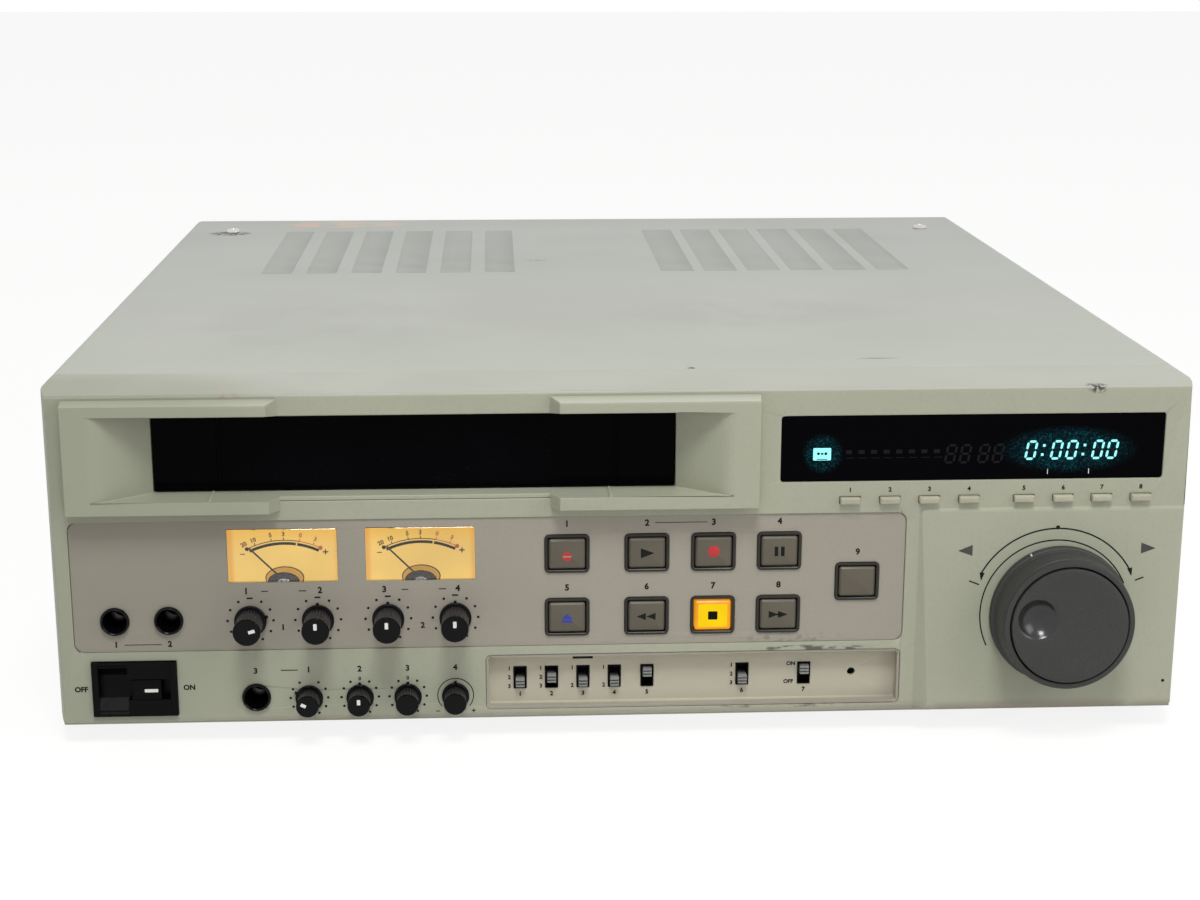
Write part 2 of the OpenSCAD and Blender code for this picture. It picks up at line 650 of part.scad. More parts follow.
// Black surrounds of the push buttons, the slide switches' bodies and the power switch's housing
module button_surround(p) {
    lo = p - [button_w, button_h] / 2;
    hi = p + [button_w, button_h] / 2;
    difference() {
        union() {
            plate(lo, hi, 1.5, plate_y0 - 0.7, 8);
            plate(inset(lo, -1), inset(hi, 1), 1.5, plate_recess, plate_recess + 1.5);
        }
        plate(inset(lo, surround_t), inset(hi, -surround_t), 0.8, -3, 9);
    }
}

module switch_body(x) translate([x, 0, switch_z]) difference() {
    union() {
        block([-slot_w / 2 - slot_rim, tray_y - 0.3, -slot_h / 2 - slot_rim],
            [slot_w / 2 + slot_rim, tray_y + tray_t, slot_h / 2 + slot_rim]);
        block([-slot_w / 2 - 1.2, tray_y + tray_t, -slot_h / 2 - 1.6], [slot_w / 2 + 1.2, board_y, slot_h / 2 + 1.6]);
    }
    block([-slot_w / 2, 0, -slot_h / 2], [slot_w / 2, board_y - 2, slot_h / 2]);
}

module power_housing() translate([power_x, 0, power_z]) difference() {
    union() {
        block([-power_w / 2, -1.2, -power_h / 2], [power_w / 2, 14, power_h / 2]);
        block([-power_w / 2 - 1, panel_t, -power_h / 2 + 1], [power_w / 2 + 1, panel_t + 1.5, power_h / 2 - 1]);
    }
    block([-power_slot_w / 2, -2, -power_knob_h / 2 - slide_fit], [power_slot_w / 2, 9, power_knob_h / 2 + slide_fit]);
    along_x(-power_w / 2 + 2, -power_w / 2 + 14) polygon([[-2, -power_h / 2 + 1], [-0.6, -power_h / 2 + 2],
        [3.5, -power_knob_h / 2], [3.5, power_knob_h / 2], [-0.6, power_h / 2 - 2], [-2, power_h / 2 - 1]]);
}

module switch_frames() color(black) in_panel() {
    for (p = button_xz) button_surround(p);
    for (x = switch_x) switch_body(x);
    power_housing();
}

module power_slider() color(black) in_panel() translate([power_knob_x, 0, power_z]) {
    block([-power_knob_w / 2, -1.6, -power_knob_h / 2], [power_knob_w / 2, 8.8, power_knob_h / 2]);
}

module switch_knob(i) color(plate_taupe) in_panel() translate([switch_x[i], 0, switch_z + switch_rest[i] * slider_reach]) {
    half = slot_w / 2 - slide_fit;
    block([-half, 3.6, -slider_h / 2], [half, board_y - 2.2, slider_h / 2]);
    for (z = [-1, 0, 1] * slider_h / 3) block([-half, 2.6, z - 0.4], [half, 3.6, z + 0.4]);
}

// Push button cap with a bevelled front and a stem towards its switch
module push_button(i, tint) color(tint) in_panel() translate([button_xz[i][0], 0, button_xz[i][1]]) {
    cap = [button_w, button_h] / 2 - [surround_t + slide_fit, surround_t + slide_fit];
    face = plate_y0 - cap_out;
    plate(-cap, cap, 0.7, face + 0.9, 4);
    plate(inset(-cap, 0.5), inset(cap, -0.5), 0.7, face + 0.4, face + 0.9);
    plate(inset(-cap, 1.1), inset(cap, -1.1), 0.7, face, face + 0.4);
    rod_y([0, 0], 4, board_y - button_travel - stop_gap, 2.5);
}

module display_key(i) color(panel_beige) in_panel() translate([key_x[i], 0, key_z]) {
    block([-key_w / 2, -key_out, -key_h / 2], [key_w / 2, panel_t + stop_gap, key_h / 2]);
    block([-key_w / 2 - 1, panel_t + stop_gap, -key_h / 2 - 1], [key_w / 2 + 1, panel_t + stop_gap + 1, key_h / 2 + 1]);
    rod_y([0, 0], panel_t + stop_gap + 1, board_y - key_travel - stop_gap, 1.2);
}

// Knob with a skirt, a fluted grip, a pointer and its shaft; turn is clockwise from upright
module control_knob(xz, r, out, turn, foot_y) color(black) in_panel() translate([xz[0], 0, xz[1]]) rotate([0, turn, 0]) {
    difference() {
        union() {
            rod_y([0, 0], foot_y - 1.6, foot_y - 0.4, r);
            rod_y([0, 0], 1 - out, foot_y - 1.6, r - 0.7);
            rod_y([0, 0], -out, 1 - out, r - 1.1);
        }
        for (a = [0:30:330]) rotate([0, a, 0]) block([-0.35, 1 - out, r - 1], [0.35, foot_y - 1.6, r]);
    }
    block([-0.4, foot_y - 1.5, r - 0.5], [0.4, foot_y - 0.5, r + 0.8]);
    rod_y([0, 0], foot_y - 0.4, board_y - 3, shaft_r);
}

module level_knob(i) control_knob(level_xz[i], knob_r, knob_out, level_turn[i], plate_y0);

module trim_knob(i) control_knob(trim_xz[i], trim_r, trim_out, trim_turn[i], 0);

// Dial: a sprung shuttle ring round a free jog dial
module shuttle_ring() color(dial_grey) on_dial() difference() {
    union() {
        rotate_extrude($fn = 96) polygon([[0, 0.4], [ring_r, 0.4], [ring_r, 2.6], [ring_r - 0.9, 3.4],
            [ring_rim_r + 0.6, ring_out - 4], [ring_rim_r, ring_out - 0.6], [ring_rim_r - 0.6, ring_out], [0, ring_out]]);
        translate([0, 0, -sleeve_l]) cylinder(sleeve_l + 1, r = hub_r);
    }
    translate([0, 0, ring_floor]) cylinder(ring_out, r = jog_r + jog_gap, $fn = 96);
    translate([0, 0, -sleeve_l - 1]) cylinder(sleeve_l + ring_out, r = shaft_r + shaft_fit);
}

module jog_dial() color(dial_grey) on_dial() difference() {
    union() {
        translate([0, 0, ring_floor + 0.4]) cylinder(jog_out - ring_floor - 0.4 - jog_chamfer, r = jog_r, $fn = 96);
        translate([0, 0, jog_out - jog_chamfer]) cylinder(jog_chamfer, r = jog_r - jog_chamfer, $fn = 96);
        translate([0, 0, -shaft_l]) cylinder(shaft_l + ring_floor + 0.4 + eps, r = shaft_r);
    }
    translate([dimple_at[0], dimple_at[1], jog_out + 5]) sphere(r = sqrt(dimple_r * dimple_r + 25));
}

// Sound meters: an open-fronted housing with a scale plate and the needle's pivot pin
pivot_drop = 10.4;
meter_d = 24;
scale_y = 8;
needle_y = 4;
needle_hub_r = 1.6;
pivot_r = 0.6;

module meter_housing(p) translate([p[0], 0, p[1]]) {
    difference() {
        block([-meter_w / 2 - 1, plate_recess, -meter_h / 2 - 4], [meter_w / 2 + 1, meter_d, meter_h / 2 + 1]);
        block([-meter_w / 2 + 0.4, 0, -meter_h / 2 - 3], [meter_w / 2 - 0.4, scale_y, meter_h / 2]);
    }
    rod_y([0, -pivot_drop], needle_y - 1.8, scale_y, pivot_r);
}

module level_meters() color(meter_amber) in_panel() for (p = meter_xz) meter_housing(p);

module meter_needle(i) color(black) in_panel()
    translate([meter_xz[i][0], 0, meter_xz[i][1] - pivot_drop]) rotate([0, -needle_rest, 0]) difference() {
        union() {
            rod_y([0, 0], needle_y - 0.8, needle_y + 1.2, needle_hub_r);
            block([-0.25, needle_y - 0.3, 0], [0.25, needle_y + 0.3, needle_len]);
        }
        rod_y([0, 0], 0, 10, pivot_r + 0.05);
    }

// Jack sockets
module panel_jacks() color(black) in_panel() for (i = [0:2]) {
    face = i == 2 ? 0 : plate_y0;
    back = i == 2 ? panel_t : plate_recess;
    difference() {
        union() {
            rod_y(jack_xz[i], face - 1.4, face, jack_collar_r);
            rod_y(jack_xz[i], face - eps, back + 0.4, jack_collar_r - 0.8);
            translate([jack_xz[i][0], 0, jack_xz[i][1]])
                block([-6.4, back + 0.1, -6.4], [6.4, face - 1.4 + jack_l + 3, 6.4]);
        }
        rod_y(jack_xz[i], face - 2, face - 1.4 + jack_l, jack_bore_r);
    }
}

// Boards: the control board with its shaft bushings, the display board, the main boards and their parts
encoder_w = 34;
pot_w = 12;
main_z = chassis_top + 8;
main_x0 = 12 - case_half;
main_x1 = case_half - 8;
main_step = [38, case_half - 112];
main_y = [52, 275, 288, body_d - 40];
main_outline = [[main_x0, main_y[1]], [main_step[0], main_y[1]], [main_step[0], main_y[0]], [main_x1, main_y[0]],
    [main_x1, main_y[2]], [main_step[1], main_y[2]], [main_step[1], main_y[3]], [main_x0, main_y[3]]];
main_studs = [[main_x0 + 10, main_y[1] + 10], [-80, main_y[1] + 10], [main_step[1] - 10, main_y[1] + 5],
    [main_x0 + 10, main_y[3] - 10], [main_step[1] - 10, main_y[3] - 10], [main_step[0] + 10, main_y[0] + 10],
    [main_x1 - 10, main_y[0] + 10], [main_x1 - 10, main_y[2] - 10]];
chip_pitch = (main_x1 - main_step[0] - 34) / 3;
control_x1 = face_w / 2 - 7.75;
tube_lo = [window_x0 + 11, window_z0 + 2.4];
tube_hi = [window_x1 - 5, window_z1 - 2.4];

module pot(xz, y0) difference() {
    translate([xz[0], 0, xz[1]]) block([-pot_w / 2, y0, -pot_w / 2], [pot_w / 2, board_y, pot_w / 2]);
    rod_y(xz, y0 - 1, board_y - 2.4, shaft_r + shaft_fit);
}

// Rotary encoders of the dial, bored along the dial's leaning axis
module encoder() difference() {
    translate([dial_x, 0, dial_z])
        block([-encoder_w / 2, panel_t + part_gap, -encoder_w / 2], [encoder_w / 2, board_y + 1, encoder_w / 2]);
    translate([dial_x, dial_face_y, dial_z]) rotate([90 - block_lean, 0, 0]) {
        translate([0, 0, -sleeve_l - 0.3]) cylinder(sleeve_l, r = hub_r + shaft_fit);
        translate([0, 0, -shaft_l - 0.3]) cylinder(shaft_l, r = shaft_r + shaft_fit);
    }
}

module control_board() {
    along_y(board_y, board_y + board_t) polygon([[-152, 28], [-152, 48.5], [-34, 48.5], [-34, 74], [control_x1, 74],
        [control_x1, chassis_top + 1], [-124, chassis_top + 1], [-124, 28]]);
    for (p = level_xz) pot(p, plate_recess + part_gap);
    for (p = trim_xz) pot(p, panel_t + part_gap);
    encoder();
    for (x = [-100, 20, 112, control_x1 - 4]) rod_y([x, 26.5], panel_t, board_y, 1.2);
}

module display_board() {
    along_y(board_y, board_y + board_t)
        translate([window_x0 + 3, key_z - 4]) square([window_x1 - window_x0 + 4, window_z1 - key_z + 4]);
    plate(tube_lo, tube_hi, 1.5, panel_t + 0.6, board_y);
    for (x = [window_x0 + 6, window_x1 + 3]) rod_y([x, key_z + 4.4], panel_t, board_y, 1.2);
}

module main_board() {
    translate([0, 0, main_z]) linear_extrude(board_t) polygon(main_outline);
    for (p = main_studs) rod_z(p, chassis_top, main_z, 3);
    for (i = [0:5]) rod_z([main_x0 + 20 + 22 * i, main_y[1] + 25], main_z + board_t, main_z + 20, 6);
    for (i = [0:3]) for (j = [0:1])
        translate([main_x0 + 30 + 60 * i, main_y[3] - 71 + 32 * j, main_z + board_t]) cube([36, 14, 4]);
    for (i = [0:3]) for (j = [0:2])
        translate([main_step[0] + 6 + chip_pitch * i, main_y[0] + 28 + 60 * j, main_z + board_t]) cube([22, 12, 4]);
    for (i = [0:1]) translate([main_step[0] + 22 + 66 * i, main_y[0] + 56, main_z + board_t]) cube([50, 26, 22]);
}

module circuit_boards() color(board_green) in_panel() {
    control_board();
    display_board();
    main_board();
}

// Power supply: an open cage with its board, transformer, heat sink and capacitors
psu_lo = [case_half - 104, body_d - 136];
psu_hi = [case_half - 8, body_d - 34];
psu_h = 72;
psu_z1 = chassis_top + psu_h;

module power_supply() color(zinc) in_panel() {
    difference() {
        block([psu_lo[0], psu_lo[1], chassis_top], [psu_hi[0], psu_hi[1], psu_z1]);
        block([psu_lo[0] + 1.2, psu_lo[1] - 1, chassis_top + 1.2], [psu_hi[0] - 1.2, psu_hi[1] + 1, psu_z1 - 1.2]);
        for (i = [0:6]) translate([psu_lo[0] + 12 + 11 * i, 0, 0])
            block([0, psu_lo[1] + 12, psu_z1 - 3], [5, psu_hi[1] - 12, psu_z1 + 1]);
    }
    translate([0, 0, chassis_top + 1.2]) {
        translate([psu_lo[0] + 8, psu_lo[1] + 8, 0]) cube([42, 46, 40]);
        for (i = [0:4]) translate([psu_hi[0] - 34 + 6 * i, psu_lo[1] + 12, 0]) cube([2, 60, 50]);
        translate([psu_hi[0] - 34, psu_lo[1] + 12, 0]) cube([26, 60, 3]);
        for (i = [0:1]) translate([psu_lo[0] + 16 + 22 * i, psu_hi[1] - 22, 0]) cylinder(34, r = 9);
    }
}

// Transport: plate, side brackets, lower drum, posts and the parked pinch roller
deck_x0 = mouth_x - bracket_half;
deck_x1 = mouth_x + bracket_half;
bracket_d = 130;
pillar_at = [[deck_x0 + 8, deck_y0 + 8], [deck_x1 - 8, deck_y0 + 8], [deck_x0 + 8, deck_y0 + deck_d - 8],
    [deck_x1 - 8, deck_y0 + deck_d - 8], [mouth_x, deck_y0 + 14], [mouth_x, deck_y0 + deck_d - 8]];
post_at = [[-48, -32, 2.6], [-41, -20, 3], [37, -29, 3], [44, -12, 2.6]];
pinch_at = [capstan_x + 14, capstan_y + 10];

module guide_slot(y0, y1, z) along_x(-case_half, case_half) union() {
    translate([y0, z - guide_pin_r - guide_fit]) square([y1 - y0, 2 * (guide_pin_r + guide_fit)]);
    translate([y0, z]) circle(guide_pin_r + guide_fit);
    translate([y1, z]) circle(guide_pin_r + guide_fit);
}

module lift_brackets() difference() {
    for (s = [-1, 1]) translate([mouth_x + s * (bracket_half - carriage_t / 2), 0, 0])
        block([-carriage_t / 2, deck_y0, deck_z - eps], [carriage_t / 2, deck_y0 + bracket_d, carriage_pin_z + 12]);
    for (y = carriage_pin_y) guide_slot(y, y + carriage_travel, carriage_pin_z);
}

module transport_plate() difference() {
    union() {
        block([deck_x0, deck_y0, deck_z - deck_t], [deck_x1, deck_y0 + deck_d, deck_z]);
        rod_z([capstan_x, capstan_y], deck_z - 4, deck_z + 14, capstan_r + 2.5);
        for (p = pillar_at) rod_z(p, chassis_top, deck_z - deck_t, 3.5);
        for (s = [-1, 1]) rod_z([mouth_x + s * reel_pitch / 2, reel_y], deck_z - 1, seat_z + 8, reel_post_r);
        for (s = [-1, 1]) for (y = rest_y)
            rod_z([mouth_x + s * rest_x, reel_y + y], deck_z - 1, seat_z - part_gap, 3);
    }
    rod_z([capstan_x, capstan_y], 0, deck_z + 20, capstan_r + shaft_fit);
}

module tape_posts() {
    for (p = post_at) {
        rod_z([drum_x + p[0], drum_y + p[1]], deck_z - 1, deck_z + 38, p[2] - 1);
        rod_z([drum_x + p[0], drum_y + p[1]], deck_z + 8, deck_z + 10, p[2] + 1);
        rod_z([drum_x + p[0], drum_y + p[1]], deck_z + 10.2 + 12.7, deck_z + 25, p[2] + 1);
    }
    rod_z(pinch_at, deck_z - 1, deck_z + 34, 2);
    rod_z(pinch_at, deck_z + 10, deck_z + 28, 6.5);
    translate([drum_x - 46, drum_y + 2, deck_z - eps]) cube([8, 14, 26]);
    translate([drum_x + 42, drum_y + 10, deck_z - eps]) cube([14, 10, 26]);
}

module transport_deck() color(steel) {
    in_panel() {
        transport_plate();
        lift_brackets();
        tape_posts();
        block([drum_x - 38, drum_y - 30, deck_z - eps], [drum_x + 38, drum_y + 38, deck_z + 4]);
    }
    on_drum() difference() {
        translate([0, 0, -3.6]) cylinder(drum_half_h + 3.4, r = drum_r, $fn = 96);
        translate([0, 0, -1]) cylinder(drum_half_h + 2, r = drum_shaft_r + shaft_fit);
    }
}

module head_drum() color(steel) on_drum() difference() {
    union() {
        translate([0, 0, drum_half_h + 0.3]) cylinder(drum_half_h, r = drum_r, $fn = 96);
        translate([0, 0, 2 * drum_half_h]) cylinder(3, r = 12);
        translate([0, 0, 1]) cylinder(drum_half_h + 1, r = drum_shaft_r);
    }
    for (a = [0, 180]) rotate([0, 0, a]) translate([drum_r - 1.5, -2, drum_half_h]) cube([3, 4, 3]);
}

module capstan() color(steel) in_panel() {
    rod_z([capstan_x, capstan_y], deck_z - 14, deck_z + 34, capstan_r);
    rod_z([capstan_x, capstan_y], deck_z - 13, deck_z - 5, 22);
}

module reel(s) color(black) in_panel() translate([mouth_x + s * reel_pitch / 2, reel_y, 0]) difference() {
    union() {
        rod_z([0, 0], deck_z + 0.4, deck_z + 3, 19);
        rod_z([0, 0], deck_z + 3, seat_z - 0.6, 13);
        rod_z([0, 0], seat_z - 0.6, seat_z + 9, 7.6);
        rod_z([0, 0], seat_z + 9, seat_z + 11, 5.6);
        for (a = [90, 210, 330]) rotate([0, 0, a]) block([0, -1.2, seat_z - 0.6], [9.4, 1.2, seat_z + 7]);
    }
    rod_z([0, 0], 0, seat_z + 8.6, reel_post_r + shaft_fit);
}

module supply_reel() reel(-1);

module takeup_reel() reel(1);

module lift_carriage() color(zinc) in_panel() {
    difference() {
        for (s = [-1, 1]) translate([mouth_x + s * (carriage_half - carriage_t / 2), 0, 0])
            block([-carriage_t / 2, holder_y + 3, carriage_z0], [carriage_t / 2, holder_y + holder_d - 2, carriage_z1]);
        for (y = holder_pin_y) along_x(-case_half, case_half) union() {
            translate([y - guide_pin_r - guide_fit, holder_pin_z - holder_drop])
                square([2 * (guide_pin_r + guide_fit), holder_drop]);
            for (z = [holder_pin_z - holder_drop, holder_pin_z]) translate([y, z]) circle(guide_pin_r + guide_fit);
        }
    }
    for (y = bridge_y)
        block([mouth_x - carriage_half, y, carriage_z1 - carriage_t], [mouth_x + carriage_half, y + 14, carriage_z1]);
    for (s = [-1, 1]) for (y = carriage_pin_y) translate([mouth_x + s * (carriage_half + 1.1), 0, 0])
        rod_x(-1.1 - eps, 1.1, [y, carriage_pin_z], guide_pin_r);
}

carriage_z0 = holder_pin_z - holder_drop - 5;
bridge_y = [66, 104];

module cassette_holder() color(zinc) in_panel() {
    block([mouth_x - holder_half, holder_y, holder_top - holder_wall], [mouth_x + holder_half, holder_y + holder_d, holder_top]);
    for (s = [-1, 1]) {
        translate([mouth_x + s * (holder_half - holder_wall / 2), 0, 0])
            block([-holder_wall / 2, holder_y, holder_floor - holder_wall], [holder_wall / 2, holder_y + holder_d, holder_top]);
        translate([mouth_x + s * (holder_half - holder_ledge / 2), 0, 0])
            block([-holder_ledge / 2, holder_y, holder_floor - holder_wall], [holder_ledge / 2, holder_y + holder_d, holder_floor]);
        for (y = holder_pin_y)
            translate([mouth_x + s * (holder_half + 1), 0, 0]) rod_x(-1 - eps, 1, [y, holder_pin_z], guide_pin_r);
    }
}

top_cover();
base_chassis();
rear_panel();
front_panel();
cassette_bezel();
control_plates();
clear_windows();
switch_frames();
level_meters();
panel_jacks();
rear_terminals();
feet();
case_screws();
transport_deck();
power_supply();
circuit_boards();
cassette_flap();
lift_carriage();
cassette_holder();
push_button(0, cap_taupe);  // audio_dub_button
push_button(1, cap_taupe);  // play_button
push_button(2, cap_taupe);  // record_button
push_button(3, cap_taupe);  // pause_button
push_button(4, cap_taupe);  // eject_button
push_button(5, cap_taupe);  // rewind_button
push_button(6, [0.98, 0.75, 0.05]);  // stop_button
push_button(7, cap_taupe);  // fast_forward_button
push_button(8, cap_taupe);  // digital_button
display_key(0);  // display_key_1
display_key(1);  // display_key_2
display_key(2);  // display_key_3
display_key(3);  // display_key_4
display_key(4);  // display_key_5
display_key(5);  // display_key_6
display_key(6);  // display_key_7
display_key(7);  // display_key_8
level_knob(0);  // level_knob_1
level_knob(1);  // level_knob_2
level_knob(2);  // level_knob_3
level_knob(3);  // level_knob_4
trim_knob(0);  // trim_knob_1
trim_knob(1);  // trim_knob_2
trim_knob(2);  // trim_knob_3
trim_knob(3);  // trim_knob_4
power_slider();
switch_knob(0);  // switch_knob_1
switch_knob(1);  // switch_knob_2
switch_knob(2);  // switch_knob_3
switch_knob(3);  // switch_knob_4
switch_knob(4);  // switch_knob_5
switch_knob(5);  // switch_knob_6
switch_knob(6);  // switch_knob_7
shuttle_ring();
jog_dial();
meter_needle(0);  // meter_needle_1
meter_needle(1);  // meter_needle_2
head_drum();
capstan();
supply_reel();
takeup_reel();
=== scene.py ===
"""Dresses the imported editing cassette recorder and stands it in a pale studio.

Every shape is drawn in millimetres in a seat, a flat place on the recorder with a right, an up and
an outward direction, and turned into metres only when its mesh is made. The seat of the front has
the panel's face at w = 0, its middle at u = 0 and its bottom edge at v = 0.
"""
import json
import logging
import math
from dataclasses import dataclass, field, replace
from enum import Enum
from functools import cache

import bmesh
import bpy
import numpy as np
from mathutils import Matrix, Vector

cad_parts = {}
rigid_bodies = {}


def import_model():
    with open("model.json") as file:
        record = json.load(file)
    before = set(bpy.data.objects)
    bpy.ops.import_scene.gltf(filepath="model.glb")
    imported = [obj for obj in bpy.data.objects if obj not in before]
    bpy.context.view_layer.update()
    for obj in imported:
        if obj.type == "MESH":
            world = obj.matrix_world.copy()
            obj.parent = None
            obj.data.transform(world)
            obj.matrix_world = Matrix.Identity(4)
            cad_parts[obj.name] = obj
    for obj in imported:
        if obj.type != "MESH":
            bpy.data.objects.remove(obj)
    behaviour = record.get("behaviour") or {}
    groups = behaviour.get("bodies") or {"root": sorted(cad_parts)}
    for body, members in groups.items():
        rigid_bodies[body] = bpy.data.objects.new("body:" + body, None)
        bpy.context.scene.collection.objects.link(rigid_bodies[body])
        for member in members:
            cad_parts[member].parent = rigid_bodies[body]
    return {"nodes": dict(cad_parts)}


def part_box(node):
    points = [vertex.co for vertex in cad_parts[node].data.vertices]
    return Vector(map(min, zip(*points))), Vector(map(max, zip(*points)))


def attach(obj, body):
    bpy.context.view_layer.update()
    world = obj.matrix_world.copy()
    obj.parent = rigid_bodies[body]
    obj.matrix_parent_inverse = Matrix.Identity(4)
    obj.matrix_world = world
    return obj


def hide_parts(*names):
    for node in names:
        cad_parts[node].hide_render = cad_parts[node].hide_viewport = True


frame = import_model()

log = logging.getLogger("recorder")

Triple = tuple[float, float, float]
Rgb = Triple
Point = tuple[float, float]
Levels = list[Point]
Socket = bpy.types.NodeSocket

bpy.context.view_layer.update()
CASE_DEPTH = 436.0
CASE_HALF = 212.0
PANEL_TOP = 124.0
ORIGIN_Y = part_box("top_cover")[1].y * 1000 - CASE_DEPTH
ORIGIN_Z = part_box("front_panel")[0].z * 1000

# Prints stand this high over a surface, and are rooted this deep in it.
PRINT = 0.04
ROOT = 0.05
# Strokes of the type are thickened by this share of its size.
TYPE_WEIGHT = 0.042
CORNER_STEPS = 4
SMALLEST_RADIUS = 0.05
# Points closer than this many metres are one point, in new meshes and in construction meshes.
SAME_POINT = 1e-6
SAME_CAD_POINT = 2e-6
# Edges longer than this, in millimetres, and sharper than this, in degrees, are rounded.
LONG_EDGE = 1.5
SHARP_EDGE = 28.0
# A stain or a patch of painted light or shade is whole inside this share of its ellipsoid, and fades over
# this span of its noise.
SPOT_CORE = 0.55
SPOT_FADE = (0.06, 0.1)
WHITE = (1.0, 1.0, 1.0, 1.0)
BLACK = (0.0, 0.0, 0.0, 1.0)


# Seats and shells


@dataclass(frozen=True)
class Seat:
    """A flat place on the recorder: origin and right, up and outward directions in panel millimetres."""

    at: Triple = (0.0, 0.0, 0.0)
    right: Triple = (1.0, 0.0, 0.0)
    up: Triple = (0.0, 0.0, 1.0)
    out: Triple = (0.0, -1.0, 0.0)

    def world(self, points: np.ndarray) -> np.ndarray:
        """Metres in the part's frame: origin + u right + v up + w out, then the panel frame's shift.

        Args:
            points: Rows of u, v and w in millimetres.

        Returns:
            Rows of x, y and z in metres.
        """
        axes = np.array([self.right, self.up, self.out])
        return (points @ axes + self.at + np.array([0.0, ORIGIN_Y, ORIGIN_Z])) / 1000

    def moved(self, u: float, v: float, w: float = 0.0) -> "Seat":
        """The same directions with the origin moved by u, v and w."""
        axes = np.array([self.right, self.up, self.out])
        return replace(self, at=tuple(np.array(self.at) + np.array([u, v, w]) @ axes))

    def turned(self, degrees: float) -> "Seat":
        """The same origin with right and up turned clockwise about the outward direction."""
        a = math.radians(degrees)
        right, up = np.array(self.right), np.array(self.up)
        return replace(self, right=tuple(right * math.cos(a) - up * math.sin(a)),
                       up=tuple(right * math.sin(a) + up * math.cos(a)))


FRONT = Seat()
PLAN = Seat(up=(0.0, 1.0, 0.0), out=(0.0, 0.0, 1.0))
REAR = Seat(at=(0.0, CASE_DEPTH, 0.0), right=(-1.0, 0.0, 0.0), out=(0.0, 1.0, 0.0))


def sideways(side: int, at: Triple) -> Seat:
    """Seat that faces right for side 1 and left for side -1."""
    return Seat(at, (0, side, 0), (0, 0, 1), (side, 0, 0))


@dataclass
class Shell:
    """Points with the quads and the many-sided caps between them."""

    points: np.ndarray
    quads: np.ndarray
    caps: list[np.ndarray] = field(default_factory=list)

    def shifted(self, u: float, v: float, w: float = 0.0) -> "Shell":
        """The shell moved by u, v and w."""
        return Shell(self.points + np.array([u, v, w]), self.quads, self.caps)

    def spun(self, degrees: float) -> "Shell":
        """The shell turned clockwise about the w axis."""
        a = math.radians(degrees)
        turn = np.array([[math.cos(a), -math.sin(a), 0], [math.sin(a), math.cos(a), 0], [0, 0, 1]])
        return Shell(self.points @ turn, self.quads, self.caps)


Parts = list[tuple[Shell, int]]


def grid_quads(rows: int, cols: int, wrap_rows: bool = False, wrap_cols: bool = False) -> np.ndarray:
    """Quads between neighbouring points of a grid numbered row by row.

    Args:
        rows: Number of rows.
        cols: Number of points in a row.
        wrap_rows: Whether the last row joins the first.
        wrap_cols: Whether each row closes on itself.

    Returns:
        One row of four point numbers for each quad.
    """
    index = np.arange(rows * cols).reshape(rows, cols)
    if wrap_rows:
        index = np.vstack([index, index[:1]])
    if wrap_cols:
        index = np.hstack([index, index[:, :1]])
    quads = np.stack([index[:-1, :-1], index[:-1, 1:], index[1:, 1:], index[1:, :-1]], axis=-1)
    return quads.reshape(-1, 4)


def loft(rings: np.ndarray, wrapped: bool = False) -> Shell:
    """Skin over closed rings of points, from the back one to the front one.

    Args:
        rings: Array of ring, point and coordinate.
        wrapped: True joins the last ring to the first; otherwise both ends are capped.

    Returns:
        A closed shell.
    """
    rows, cols = rings.shape[:2]
    caps = [] if wrapped else [np.arange(cols)[::-1], np.arange((rows - 1) * cols, rows * cols)]
    return Shell(rings.reshape(-1, 3), grid_quads(rows, cols, wrapped, True), caps)


def rounded(half: Point, radius: float) -> np.ndarray:
    """Outline of a rectangle with quarter circles at its corners, anticlockwise.

    Each corner is its centre plus radius times (cos a, sin a), with a over its own quarter turn.

    Args:
        half: Half width and half height.
        radius: Corner radius.

    Returns:
        Rows of u and v.
    """
    a = (np.arange(4)[:, None] + np.linspace(0, 1, CORNER_STEPS + 1)).ravel() * math.pi / 2
    side = np.repeat([[1, 1], [-1, 1], [-1, -1], [1, -1]], CORNER_STEPS + 1, axis=0)
    return side * (np.array(half) - radius) + radius * np.stack([np.cos(a), np.sin(a)], -1)


def raised(flat: np.ndarray, w: float) -> np.ndarray:
    """Rows of (u, v) lifted to the height w."""
    return np.column_stack([flat, np.full(len(flat), w)])


def pad(half: Point, radius: float, levels: Levels, wrapped: bool = False) -> Shell:
    """Rounded rectangle carried through levels: at (inset, w) its outline is drawn in by inset at w.

    Args:
        half: Half width and half height.
        radius: Corner radius of the outline with no inset.
        levels: Pairs of inset and w, back to front.
        wrapped: True makes a frame whose last level joins its first.

    Returns:
        A closed shell.
    """
    rings = [raised(rounded((half[0] - i, half[1] - i), max(radius - i, SMALLEST_RADIUS)), w)
             for i, w in levels]
    return loft(np.array(rings), wrapped)


def turned(profile: Levels, turns: int = 48, wrapped: bool = False) -> Shell:
    """Profile of (radius, w) carried round the w axis: (r cos a, r sin a, w).

    Args:
        profile: Pairs of radius and w, back to front; radius 0 closes a pole.
        turns: Steps round the axis.
        wrapped: True makes a ring whose profile closes on itself.

    Returns:
        A closed shell.
    """
    p = np.array(profile, dtype=float)
    a = np.linspace(0, 2 * math.pi, turns, endpoint=False)
    rings = np.stack([p[:, :1] * np.cos(a), p[:, :1] * np.sin(a), np.repeat(p[:, 1:], turns, 1)], -1)
    return loft(rings, wrapped)


def slab(outline: np.ndarray | list[Point], low: float, high: float) -> Shell:
    """Outline of (u, v) carried straight from w = low to w = high."""
    flat = np.array(outline, dtype=float)
    return loft(np.array([raised(flat, w) for w in (low, high)]))


